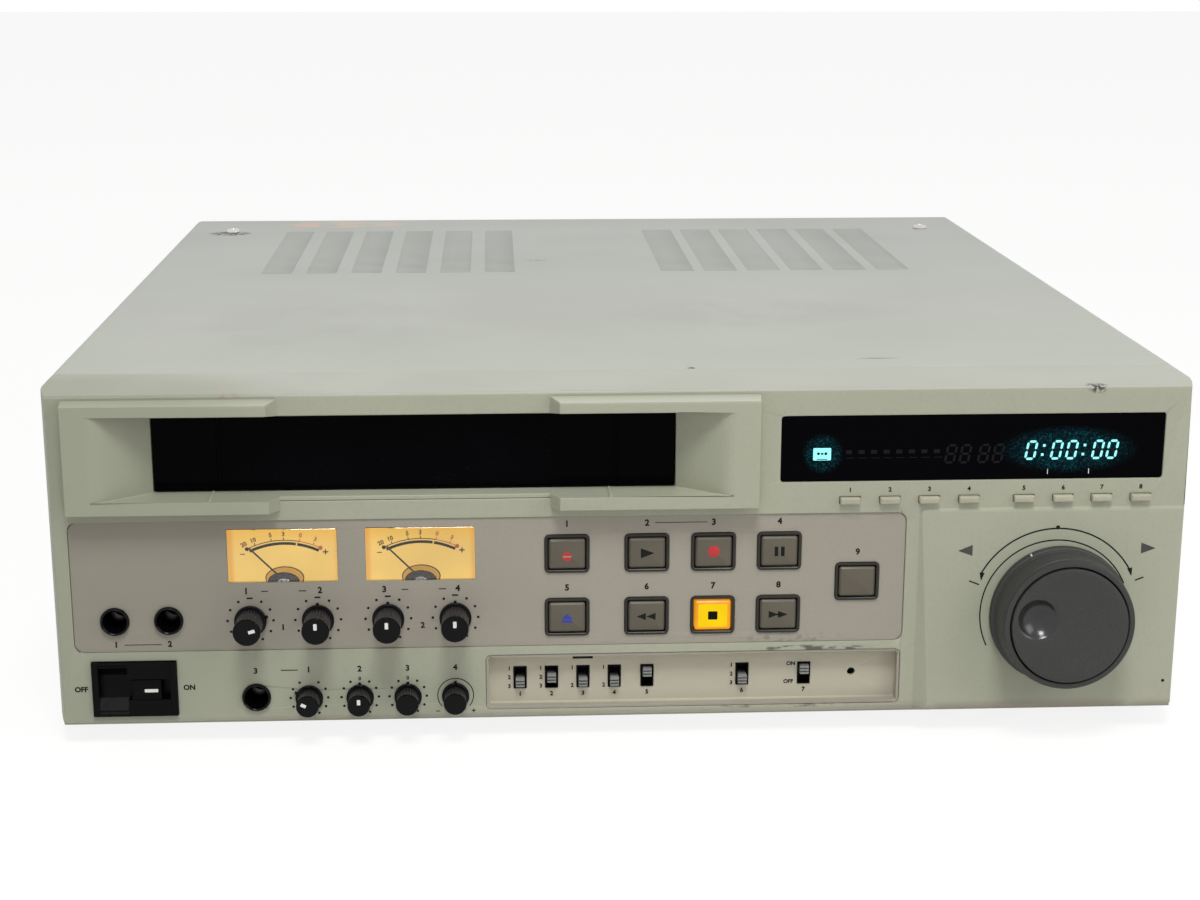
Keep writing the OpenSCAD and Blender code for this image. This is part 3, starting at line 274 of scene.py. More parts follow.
def box(lo: Triple, hi: Triple) -> Shell:
    """Box between two corners."""
    return slab([(lo[0], lo[1]), (hi[0], lo[1]), (hi[0], hi[1]), (lo[0], hi[1])], lo[2], hi[2])


def dot(radius: float, low: float, high: float, turns: int = 20) -> Shell:
    """Flat disc between two heights."""
    return turned([(radius, low), (radius, high)], turns)


def arc(radius: float, width: float, start: float, end: float, low: float, high: float,
        steps: int = 40) -> Shell:
    """Strip of rectangular section along a circle: (r sin a, r cos a), a clockwise from up.

    Args:
        radius: Radius of the strip's middle.
        width: Width of the strip.
        start: First angle in degrees.
        end: Last angle in degrees.
        low: Lower face.
        high: Upper face.
        steps: Pieces along the strip.

    Returns:
        A closed shell.
    """
    a = np.radians(np.linspace(start, end, steps + 1))[:, None]
    r = radius + width / 2 * np.array([-1.0, 1.0, 1.0, -1.0])
    w = np.array([low, low, high, high])
    return loft(np.stack([r * np.sin(a), r * np.cos(a), np.broadcast_to(w, (len(a), 4))], -1))


def stroke(p: Point, q: Point, width: float, low: float, high: float) -> Shell:
    """Straight bar from p to q."""
    along = np.array(q, dtype=float) - p
    side = np.array([-along[1], along[0]]) / np.linalg.norm(along) * width / 2
    return slab(np.array([p - side, q - side, q + side, p + side]), low, high)


def lettering(text: str, size: float, low: float, high: float, slant: float = 0.0) -> Shell:
    """Plain numbers or signs as a thin slab, centred on the origin.

    Args:
        text: What is written.
        size: Height of the type body.
        low: Lower face.
        high: Upper face.
        slant: Shear of upright strokes.

    Returns:
        A shell of quads and caps.
    """
    curve = bpy.data.curves.new("lettering", "FONT")
    curve.body, curve.size, curve.shear, curve.resolution_u = text, size, slant, 3
    curve.offset = size * TYPE_WEIGHT
    curve.align_x, curve.align_y, curve.extrude = "CENTER", "CENTER", (high - low) / 2
    holder = bpy.data.objects.new("lettering", curve)
    mesh = bpy.data.meshes.new_from_object(holder)
    points = np.empty(len(mesh.vertices) * 3)
    mesh.vertices.foreach_get("co", points)
    caps = [np.array(face.vertices) for face in mesh.polygons]
    for block, group in ((holder, bpy.data.objects), (curve, bpy.data.curves), (mesh, bpy.data.meshes)):
        group.remove(block)
    middle = np.array([0.0, 0.0, (low + high) / 2])
    return Shell(points.reshape(-1, 3) + middle, np.empty((0, 4), dtype=int), caps)


# Finishes


def linear(rgb: Rgb) -> tuple[float, float, float, float]:
    """Screen colour of 0 to 255 as linear light: c / 12.92 below 0.04045, else ((c + 0.055) / 1.055)^2.4."""
    c = np.array(rgb, dtype=float) / 255
    light = np.where(c <= 0.04045, c / 12.92, ((c + 0.055) / 1.055) ** 2.4)
    return (*light.tolist(), 1.0)


def scaled(rgb: Rgb, share: float) -> Rgb:
    """The colour with every channel multiplied by share, at most 255."""
    return tuple(min(255.0, c * share) for c in rgb)


class Graph:
    """The nodes of one material."""

    def __init__(self, name: str) -> None:
        """Makes the material with its shader and the object coordinates that patterns read."""
        self.material = bpy.data.materials.new(name)
        self.material.use_nodes = True
        self.tree = self.material.node_tree
        self.shader = self.tree.nodes["Principled BSDF"]
        self.where = self.add("ShaderNodeTexCoord", {}, {}).outputs["Object"]

    def add(self, kind: str, values: dict, settings: dict) -> bpy.types.Node:
        """Adds a node.

        Args:
            kind: Blender's name of the node type.
            values: Socket name or number to a value or to the socket that feeds it.
            settings: Node property to value.

        Returns:
            The node.
        """
        node = self.tree.nodes.new(kind)
        for name, value in settings.items():
            setattr(node, name, value)
        for name, value in values.items():
            self.feed(node.inputs[name], value)
        return node

    def feed(self, socket: Socket, value: object) -> None:
        """Links the socket to another socket or sets it to a constant."""
        if isinstance(value, Socket):
            self.tree.links.new(value, socket)
        else:
            socket.default_value = value

    def shade(self, values: dict[str, object]) -> None:
        """Feeds the shader's named sockets."""
        for name, value in values.items():
            self.feed(self.shader.inputs[name], value)

    def noise(self, size: float, detail: float = 2.0, stretch: Triple = (1.0, 1.0, 1.0)) -> Socket:
        """Cloudy value whose lumps measure about size millimetres times stretch."""
        scale = tuple(1000.0 / size / s for s in stretch)
        place = self.add("ShaderNodeVectorMath", {0: self.where, 1: scale}, {"operation": "MULTIPLY"})
        values = {"Vector": place.outputs[0], "Scale": 1.0, "Detail": detail}
        return self.add("ShaderNodeTexNoise", values, {}).outputs["Fac"]

    def ramp(self, value: object, low: float, high: float, first: float = 0.0, last: float = 1.0) -> Socket:
        """Value taken from first to last as it goes from low to high, held flat outside."""
        values = {0: value, 1: low, 2: high, 3: first, 4: last}
        return self.add("ShaderNodeMapRange", values, {"interpolation_type": "SMOOTHSTEP"}).outputs[0]

    def math(self, operation: str, a: object, b: object = 0.0) -> Socket:
        """One arithmetic step."""
        return self.add("ShaderNodeMath", {0: a, 1: b}, {"operation": operation}).outputs[0]

    def mix(self, share: object, a: object, b: object) -> Socket:
        """Colour a turning to colour b."""
        return self.add("ShaderNodeMix", {0: share, 6: a, 7: b}, {"data_type": "RGBA"}).outputs[2]

    def axis(self, number: int) -> Socket:
        """One coordinate of the object space, in metres."""
        return self.add("ShaderNodeSeparateXYZ", {0: self.where}, {}).outputs[number]

    def spot(self, centre: Triple, half: Triple) -> Socket:
        """Value 1 at a point of the panel frame, fading to 0 at an ellipsoid's skin.

        Args:
            centre: Panel millimetres.
            half: Half axes in millimetres.

        Returns:
            The value's socket.
        """
        middle = (np.array(centre) + [0, ORIGIN_Y, ORIGIN_Z]) / 1000
        away = self.add("ShaderNodeVectorMath", {0: self.where, 1: tuple(middle)}, {"operation": "SUBTRACT"})
        reach = tuple(h / 1000 for h in half)
        share = self.add("ShaderNodeVectorMath", {0: away.outputs[0], 1: reach}, {"operation": "DIVIDE"})
        length = self.add("ShaderNodeVectorMath", {0: share.outputs[0]}, {"operation": "LENGTH"})
        return self.ramp(length.outputs["Value"], 1.0, SPOT_CORE)

    def relief(self, height: object, depth: float) -> Socket:
        """Bump of the given depth in millimetres."""
        values = {"Height": height, "Distance": depth / 1000, "Strength": 1.0}
        return self.add("ShaderNodeBump", values, {}).outputs["Normal"]


@dataclass(frozen=True)
class StainOrShade:
    """A stain, or a patch of painted light or shade, on a surface: an ellipsoid broken up by noise."""

    centre: Triple
    half: Triple
    colour: Rgb
    share: float
    lump: float = 3.0
    cut: float = 0.5
    stretch: Triple = (1.0, 1.0, 1.0)

    def over(self, graph: Graph, colour: object) -> Socket:
        """The colour with the mark laid over it."""
        below, above = SPOT_FADE
        broken = graph.ramp(graph.noise(self.lump, 3.0, self.stretch), self.cut - below, self.cut + above)
        mask = graph.math("MULTIPLY", graph.spot(self.centre, self.half), broken)
        return graph.mix(graph.math("MULTIPLY", mask, self.share), colour, linear(self.colour))


@dataclass(frozen=True)
class Finish:
    """A surface with drifting tone, fine fleck, grain and changing gloss."""

    name: str
    colour: Rgb
    rough: float = 0.5
    grain: float = 0.01
    grain_size: float = 0.6
    drift: float = 0.03
    drift_size: float = 40.0
    fleck: float = 0.05
    smear: float = 0.05
    metal: float = 0.0
    specular: float = 0.5
    stretch: Triple = (1.0, 1.0, 1.0)
    stains_and_shades: tuple[StainOrShade, ...] = ()
    glow: float = 0.0

    def tone(self, graph: Graph) -> Socket:
        """The colour before its stains and its painted light and shade: a slow drift and a fine fleck over
        the named colour.
        """
        slow = graph.ramp(graph.noise(self.drift_size, 3.0), 0.3, 0.7)
        darker, lighter = (linear(scaled(self.colour, 1 + side * self.drift)) for side in (-1, 1))
        base = graph.mix(slow, darker, lighter)
        specks = graph.noise(self.grain_size * 1.7, 2.0, self.stretch)
        fine = graph.ramp(specks, 0.45, 0.75, 0.0, self.fleck * 4)
        return graph.mix(fine, base, linear(scaled(self.colour, 0.8)))

    @cache
    def material(self) -> bpy.types.Material:
        """The finish as a material, made once and named apart from the record's flat ones."""
        graph = Graph(self.name + "_look")
        colour = self.tone(graph)
        for stain_or_shade in self.stains_and_shades:
            colour = stain_or_shade.over(graph, colour)
        fine = graph.noise(self.grain_size, 2.0, self.stretch)
        gloss = graph.ramp(graph.noise(self.drift_size * 0.6, 3.0, self.stretch), 0.3, 0.7,
                           max(self.rough - self.smear, 0.02), self.rough + self.smear)
        graph.shade({"Base Color": colour, "Roughness": gloss, "Metallic": self.metal,
                     "Specular IOR Level": self.specular, "Normal": graph.relief(fine, self.grain)})
        if self.glow:
            dark = graph.mix(min(self.glow, 0.9), colour, BLACK)
            graph.shade({"Base Color": dark, "Emission Color": colour, "Emission Strength": self.glow})
        self.extra(graph, colour)
        return graph.material

    def extra(self, graph: Graph, colour: Socket) -> None:
        """What one kind of finish adds; nothing here."""


@dataclass(frozen=True)
class CoverPaint(Finish):
    """Baked paint that turns a little greener towards the front."""

    front: Rgb = (180, 183, 171)

    def tone(self, graph: Graph) -> Socket:
        """The plain tone mixed with the front colour over the first half of the depth."""
        plain = super().tone(graph)
        back = ORIGIN_Y / 1000
        share = graph.ramp(graph.axis(1), back + 0.02, back + 0.3, 1.0, 0.0)
        return graph.mix(graph.math("MULTIPLY", share, 0.75), plain, linear(self.front))


@dataclass(frozen=True)
class ClearPlastic(Finish):
    """See-through lens."""

    def extra(self, graph: Graph, colour: Socket) -> None:
        """Lets light through the shader."""
        graph.shade({"Transmission Weight": 1.0, "IOR": 1.45})


@dataclass(frozen=True)
class MeterLight(Finish):
    """Scale plate lit from behind: pale below, deep amber towards the top, orange at its ends."""

    centre: Point = (-99.375, 64.0)
    apart: float = 24.875
    reach: float = 20.2
    top: Rgb = (232, 176, 52)
    edge: Rgb = (222, 140, 40)

    def extra(self, graph: Graph, colour: Socket) -> None:
        """Makes the plate shine: more of the top colour upwards, more of the edge colour sideways."""
        across = graph.math("SUBTRACT", graph.axis(0), self.centre[0] / 1000)
        across = graph.math("SUBTRACT", graph.math("ABSOLUTE", across), self.apart / 1000)
        side = graph.math("ABSOLUTE", graph.math("DIVIDE", across, self.reach / 1000))
        middle = (self.centre[1] + ORIGIN_Z) / 1000
        height = graph.ramp(graph.axis(2), middle - 0.001, middle + 0.0115)
        shine = graph.mix(height, colour, linear(self.top))
        shine = graph.mix(graph.ramp(side, 0.86, 1.02, 0.0, 0.8), shine, linear(self.edge))
        dark = graph.mix(0.85, shine, BLACK)
        graph.shade({"Base Color": dark, "Emission Color": shine, "Emission Strength": 0.9})


@dataclass(frozen=True)
class DisplayWindow(Finish):
    """Dark acrylic with the tube's haze of light behind the lit signs."""

    haze: Rgb = (20, 110, 125)
    strength: float = 0.4
    digits: tuple[Triple, Triple] = ((162.0, 1.0, 100.4), (27.0, 12.0, 9.5))
    sign: tuple[Triple, Triple] = ((71.5, 1.0, 99.8), (8.0, 12.0, 8.0))

    def extra(self, graph: Graph, colour: Socket) -> None:
        """Adds speckled haze round the digits and the cassette sign."""
        speck = graph.ramp(graph.noise(0.55, 1.0), 0.5, 0.72, 0.12, 1.0)
        near = graph.math("MAXIMUM", graph.spot(*self.digits), graph.spot(*self.sign))
        light = graph.math("MULTIPLY", graph.math("MULTIPLY", near, speck), self.strength)
        graph.shade({"Emission Color": linear(self.haze), "Emission Strength": light})


@dataclass(frozen=True)
class BoardGreen(Finish):
    """Solder mask with copper tracks below it."""

    def extra(self, graph: Graph, colour: Socket) -> None:
        """Raises lighter tracks where a stretched noise passes its middle."""
        along = graph.ramp(graph.noise(2.2, 0.0, (9.0, 1.0, 1.0)), 0.5, 0.52)
        across = graph.ramp(graph.noise(2.2, 0.0, (1.0, 9.0, 9.0)), 0.55, 0.57)
        track = graph.math("MAXIMUM", along, across)
        copper = graph.mix(graph.math("MULTIPLY", track, 0.5), colour, linear(scaled(self.colour, 1.6)))
        graph.shade({"Base Color": copper, "Normal": graph.relief(track, 0.035)})


SCUFF = (70.0, 68.0, 66.0)
EVEN = {"lump": 60.0, "cut": 0.05}
SCRATCHES = {"lump": 2.2, "stretch": (2.5, 1, 1)}
COVER_PAINT = CoverPaint(
    "cover_paint", (181, 183, 177), rough=0.58, specular=0.3, grain=0.012, grain_size=0.9,
    drift=0.012, drift_size=110, fleck=0.02,
    stains_and_shades=(
        StainOrShade((-128, 419, 124), (40, 14, 4), (214, 186, 164), 0.75, lump=9.0, cut=0.47, stretch=(1.5, 1, 1)),
        StainOrShade((-187, 388, 124), (13, 9, 4), SCUFF, 0.9, lump=3.0, cut=0.44),
        StainOrShade((101, 52, 124), (10, 1.2, 4), (96, 94, 88), 0.7, lump=2.0, cut=0.46, stretch=(3, 1, 1)),
        StainOrShade((27, 37.5, 124), (1.8, 2.2, 4), (88, 84, 78), 0.9, lump=1.0, cut=0.4),
        StainOrShade((-26, 292, 124), (7, 4, 4), (120, 112, 100), 0.6, lump=2.0, cut=0.5),
        StainOrShade((60, 150, 124), (70, 38, 4), (150, 152, 142), 0.16, lump=26.0, cut=0.48, stretch=(1, 1.6, 1)),
        StainOrShade((-120, 130, 124), (60, 60, 4), (154, 156, 148), 0.14, lump=30.0, cut=0.5),
    ))
PANEL_PLASTIC = Finish(
    "panel_plastic", (166, 168, 149), rough=0.48, specular=0.35, grain=0.02, grain_size=0.7,
    drift=0.012, drift_size=70, fleck=0.03,
    stains_and_shades=(
        # Lighter top of the moulding, in the cover's tone; over the top millimetre of the front face it is a
        # painted highlight along the edge.
        StainOrShade((0, 30, 126.2), (2000, 200, 3.9), (176, 177, 165), 1.0, **EVEN),
        # Painted light: the tops of the bezel's wings made lighter, as if lit from above.
        StainOrShade((-75, -8, 123.6), (2000, 9, 3.6), (186, 187, 172), 0.9, **EVEN),
        # Darker band along the bottom edge: real dirt, and painted shade of the rounded edge turning under.
        StainOrShade((0, 0, 0.2), (2000, 60, 2.6), (142, 134, 122), 0.45, lump=14.0, cut=0.3),
        # Painted shade under the shuttle block, where its lower edge rolls under.
        StainOrShade((155, -14, 0.2), (105, 40, 6.2), (144, 134, 124), 0.55, lump=14.0, cut=0.3),
        # Painted shade: the left end of the panel darker.
        StainOrShade((-220, 0, 70), (130, 60, 130), (152, 154, 136), 0.9, **EVEN),
        StainOrShade((171, 2, 123.2), (5, 4, 2.6), SCUFF, 1.0, lump=1.2, cut=0.45),
        StainOrShade((-142, 2, 123), (9, 3, 1.5), (150, 128, 96), 0.6, lump=3.0, cut=0.5),
        StainOrShade((70, 0, 25.5), (26, 4, 1.6), SCUFF, 0.85, cut=0.52, **SCRATCHES),
        StainOrShade((60, 0, 3.4), (34, 4, 1.4), SCUFF, 0.6, cut=0.54, **SCRATCHES),
    ))
PLATE_PLASTIC = Finish(
    "plate_plastic", (157, 151, 139), rough=0.5, specular=0.35, grain=0.015, grain_size=0.5,
    drift=0.012, drift_size=60, fleck=0.03,
    stains_and_shades=(
        StainOrShade((62, 0.5, 30), (22, 2, 3.4), (110, 104, 96), 0.5, lump=2.4, cut=0.54),
        # Painted light: the sunken tray's floor made lighter where it lies in shade.
        StainOrShade((15, 5, 14), (140, 3.2, 22), (186, 181, 163), 1.0, **EVEN),
        # Painted shade: the left end of the plate darker.
        StainOrShade((-200, 0.5, 60), (120, 4, 80), (141, 136, 124), 0.9, **EVEN),
    ))
CAP_PLASTIC = Finish("button_plastic", (95, 89, 77), rough=0.4, specular=0.3, grain=0.015, grain_size=0.45,
                     drift=0.015, fleck=0.04)
KEY_PLASTIC = Finish("key_plastic", (172, 170, 150), rough=0.42, specular=0.3, grain=0.01, grain_size=0.4)
BLACK_PLASTIC = Finish("black_plastic", (5, 5, 7), rough=0.3, specular=0.08, grain=0.02, grain_size=0.5,
                       drift=0.08, fleck=0.0)
SURROUND_BLACK = Finish("surround_black", (40, 38, 34), rough=0.36, specular=0.3, grain=0.05, grain_size=0.5,
                        drift=0.08, fleck=0.1)
SHADE_BLACK = Finish("shade_black", (9, 9, 10), rough=0.7, grain=0.02, specular=0.1)
FLAP_GLOSS = Finish(
    "flap_gloss", (3, 3, 5), rough=0.14, smear=0.04, grain=0.002, grain_size=1.4, drift=0.2, fleck=0.0,
    specular=0.02, stains_and_shades=(StainOrShade((-75, 7, 100), (95, 4, 16), (90, 92, 104), 0.5, lump=0.55, cut=0.74),))
DARK_ACRYLIC = DisplayWindow("dark_acrylic", (3, 3, 5), rough=0.2, smear=0.05, grain=0.001, fleck=0.0,
                             specular=0.02)
CLEAR_LENS = ClearPlastic("clear_lens", (253, 253, 252), rough=0.03, smear=0.01, grain=0.0005, fleck=0.0,
                          specular=0.0)
METER_GLOW = MeterLight("meter_glow", (238, 198, 106), rough=0.6, specular=0.0, grain=0.01, fleck=0.01)
METER_INK, METER_NUMBER, NEEDLE = (
    Finish(name, colour, rough=rough, specular=0.0, grain=0.002)
    for name, colour, rough in (("meter_ink", (12, 9, 6), 0.6), ("meter_number", (112, 72, 20), 0.6),
                                ("needle_brown", (66, 40, 12), 0.5)))
AMBER_RIM = Finish("amber_rim", (214, 162, 62), rough=0.3, specular=0.1, grain=0.01, glow=0.6)
BRONZE = Finish("bronze_dome", (34, 20, 15), rough=0.24, specular=0.4, grain=0.004, drift=0.1, drift_size=3,
                fleck=0.0)
DISPLAY_GLOW = Finish("display_glow", (150, 250, 250), rough=0.5, grain=0.001, drift=0.02, fleck=0.0,
                      glow=1.1)
FAINT_SEGMENT = Finish("unlit_segment", (15, 16, 20), rough=0.5, grain=0.001, fleck=0.0, specular=0.1)
PRINT_DARK, PRINT_GREY = (
    Finish(name, (level, level, blue), rough=0.55, specular=0.15, grain=0.002, drift=drift, drift_size=6)
    for name, level, blue, drift in (("print_dark", 20, 20, 0.1), ("print_grey", 72, 68, 0.06)))
PRINT_WHITE = Finish("print_white", (226, 226, 222), rough=0.5, grain=0.002, drift=0.02)
PRINT_RED, PRINT_BLUE, PRINT_ORANGE = (
    Finish(name, colour, rough=0.5, grain=0.002, drift=0.05, drift_size=4)
    for name, colour in (("print_red", (184, 44, 44)), ("print_blue", (40, 56, 158)),
                         ("print_orange", (206, 92, 34))))
STOP_AMBER = Finish("stop_amber", (244, 158, 18), rough=0.35, grain=0.004, drift=0.03, drift_size=8,
                    fleck=0.0, glow=0.7)
STOP_BRIGHT = Finish("stop_bright", (255, 210, 8), rough=0.35, specular=0.1, grain=0.004, drift=0.02,
                     drift_size=6, fleck=0.0, glow=0.9)
KNOB_BLACK = Finish("knob_black", (5, 5, 7), rough=0.2, specular=0.13, smear=0.08, grain=0.008,
                    grain_size=0.3, drift=0.1, fleck=0.0)
KNOB_GRIP = Finish("knob_grip", (28, 26, 30), rough=0.3, specular=0.6, grain=0.02, grain_size=0.35,
                   drift=0.1, fleck=0.1)
SWITCH_GREY = Finish("switch_plastic", (134, 134, 132), rough=0.4, specular=0.2, grain=0.01, grain_size=0.3)
DIAL_PLASTIC = Finish("dial_plastic", (56, 56, 55), rough=0.46, grain=0.06, grain_size=0.42, drift=0.03,
                      drift_size=24, fleck=0.14, specular=0.3)
# Darker than the dial plastic to paint the shade of the dimple's hollow; its gloss is the dimple's own.
DIMPLE_GLOSS_AND_SHADE = Finish("dimple_gloss_and_shade", (40, 40, 40), rough=0.18, grain=0.02, grain_size=0.6, drift=0.04,
                      fleck=0.05, specular=0.5)
CHROME = Finish("nickel", (206, 204, 200), rough=0.14, smear=0.05, grain=0.002, metal=1.0, fleck=0.0)
ZINC = Finish("zinc_plate", (176, 178, 178), rough=0.38, smear=0.08, grain=0.006, grain_size=1.2, metal=1.0,
              drift=0.05, drift_size=18, fleck=0.02)
ALUMINIUM = Finish("deck_aluminium", (186, 188, 190), rough=0.34, grain=0.006, grain_size=0.5, metal=1.0,
                   drift=0.03, stretch=(12.0, 1.0, 1.0))
STEEL = Finish("shaft_steel", (204, 204, 206), rough=0.2, smear=0.05, grain=0.002, grain_size=0.4, metal=1.0,
               drift=0.02, stretch=(1.0, 1.0, 14.0))
RUBBER = Finish("foot_rubber", (30, 30, 31), rough=0.75, grain=0.04, grain_size=0.5, drift=0.08, fleck=0.1)
BOARD = BoardGreen("board_green", (30, 84, 52), rough=0.35, grain=0.01)
SOCKET_RED = Finish("socket_red", (150, 34, 30), rough=0.42, grain=0.008)
SOCKET_WHITE = Finish("socket_white", (206, 204, 196), rough=0.42, grain=0.008)
GOLD = Finish("gold_plate", (198, 160, 84), rough=0.25, grain=0.002, metal=1.0, fleck=0.0)


# Making pieces


@dataclass
class Piece:
    """One piece in the making: shells gathered in one seat, each with the number of its finish."""

    name: str
    seat: Seat = FRONT
    points: list[np.ndarray] = field(default_factory=list)
    faces: list[list[int]] = field(default_factory=list)
    looks: list[int] = field(default_factory=list)

    def add(self, shell: Shell, look: int | list[int] = 0, seat: Seat | None = None) -> "Piece":
        """Adds a shell.

        Args:
            shell: The shell in millimetres of its seat.
            look: Number of the finish it takes, or one number a face.
            seat: Where it sits; the piece's own seat if left out.

        Returns:
            The piece, so that calls can follow each other.
        """
        start = sum(len(block) for block in self.points)
        self.points.append((seat or self.seat).world(shell.points))
        fresh = (shell.quads + start).tolist() + [(cap + start).tolist() for cap in shell.caps]
        self.faces += fresh
        self.looks += [look] * len(fresh) if isinstance(look, int) else look
        return self

    def add_all(self, parts: Parts, seat: Seat | None = None, at: Point = (0.0, 0.0)) -> "Piece":
        """Adds shells with the numbers of their finishes, moved to a point of the seat."""
        for shell, look in parts:
            self.add(shell.shifted(*at), look, seat)
        return self

    def make(self, finishes: list[Finish], body: str = "case", stands_for: tuple[str, ...] = (),
             slot: str | None = None, crisp: float = 32.0, closed: bool = True) -> bpy.types.Object:
        """Makes the mesh, merges its doubles, turns its faces outwards and dresses it.

        Args:
            finishes: The finishes that the shells' numbers point to.
            body: The moving body that the piece rides on.
            stands_for: The construction nodes that it replaces.
            slot: The record's material slot; not used.
            crisp: Edges sharper than this angle in degrees are shaded as edges.
            closed: Whether the shells are closed, so that their outside can be found.

        Returns:
            The Blender object.
        """
        mesh = bpy.data.meshes.new(self.name)
        mesh.from_pydata(np.concatenate(self.points).tolist(), [], self.faces)
        mesh.polygons.foreach_set("material_index", self.looks)
        work = bmesh.new()
        work.from_mesh(mesh)
        bmesh.ops.remove_doubles(work, verts=work.verts, dist=SAME_POINT)
        if closed:
            bmesh.ops.recalc_face_normals(work, faces=work.faces)
        work.to_mesh(mesh)
        work.free()
        return dress(bpy.data.objects.new(self.name, mesh), finishes, body, stands_for, crisp)


def dress(thing: bpy.types.Object, finishes: list[Finish], body: str, stands_for: tuple[str, ...] = (),
          crisp: float = 32.0) -> bpy.types.Object:
    """Links a piece, gives it its finishes and lets it ride on its body.

    Args:
        thing: The new object.
        finishes: Its finishes, in the order of its material numbers.
        body: The body that it rides on.
        stands_for: The construction nodes that it replaces.
        crisp: Angle in degrees above which an edge is shaded as one.

    Returns:
        The same object.
    """
    bpy.context.scene.collection.objects.link(thing)
    thing.data.shade_smooth()
    thing.data.set_sharp_from_angle(angle=math.radians(crisp))
    for finish in finishes:
        thing.data.materials.append(finish.material())
    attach(thing, body)
    if stands_for:
        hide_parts(*stands_for)
    log.info("%s: %d faces on %s", thing.name, len(thing.data.polygons), body)
    return thing


def edged_copy(node: str, finish: Finish, width: float, segments: int = 2) -> bpy.types.Object:
    """A copy of a construction node with its long edges rounded, standing for it.

    The copy's loose triangles are merged first. Short edges, those round the holes, stay crisp: their
    roundings would run into the thin triangles that spread out from them.

    Args:
        node: The construction node.
        finish: Its finish.
        width: Width of the rounding in millimetres.
        segments: Steps of the rounding.

    Returns:
        The Blender object.
    """
    mesh = frame["nodes"][node].data.copy()
    mesh.materials.clear()
    work = bmesh.new()
    work.from_mesh(mesh)
    bmesh.ops.remove_doubles(work, verts=work.verts, dist=SAME_CAD_POINT)
    for face in work.faces:
        face.material_index = 0
    weight = work.edges.layers.float.new("bevel_weight_edge")
    for edge in work.edges:
        long = edge.calc_length() > LONG_EDGE / 1000
        edge[weight] = float(long and edge.calc_face_angle(0) > math.radians(SHARP_EDGE))
    work.to_mesh(mesh)
    work.free()
    thing = bpy.data.objects.new(node + "_dressed", mesh)
    bevel = thing.modifiers.new("rounded edges", "BEVEL")
    bevel.width, bevel.segments = width / 1000, segments
    bevel.limit_method = "WEIGHT"
    bevel.use_clamp_overlap = False
    shade = thing.modifiers.new("flat faces", "WEIGHTED_NORMAL")
    shade.mode, shade.weight, shade.keep_sharp = "FACE_AREA", 100, True
    return dress(thing, [finish], "case", (node,), 34.0)


def finish_node(node: str, finish: Finish) -> None:
    """Gives a construction node that keeps its own mesh a finish."""
    holder = frame["nodes"][node]
    if not holder.material_slots:
        holder.data.materials.append(finish.material())
    for place in holder.material_slots:
        place.material = finish.material()
    log.info("%s keeps its mesh in %s", node, finish.name)


# Case


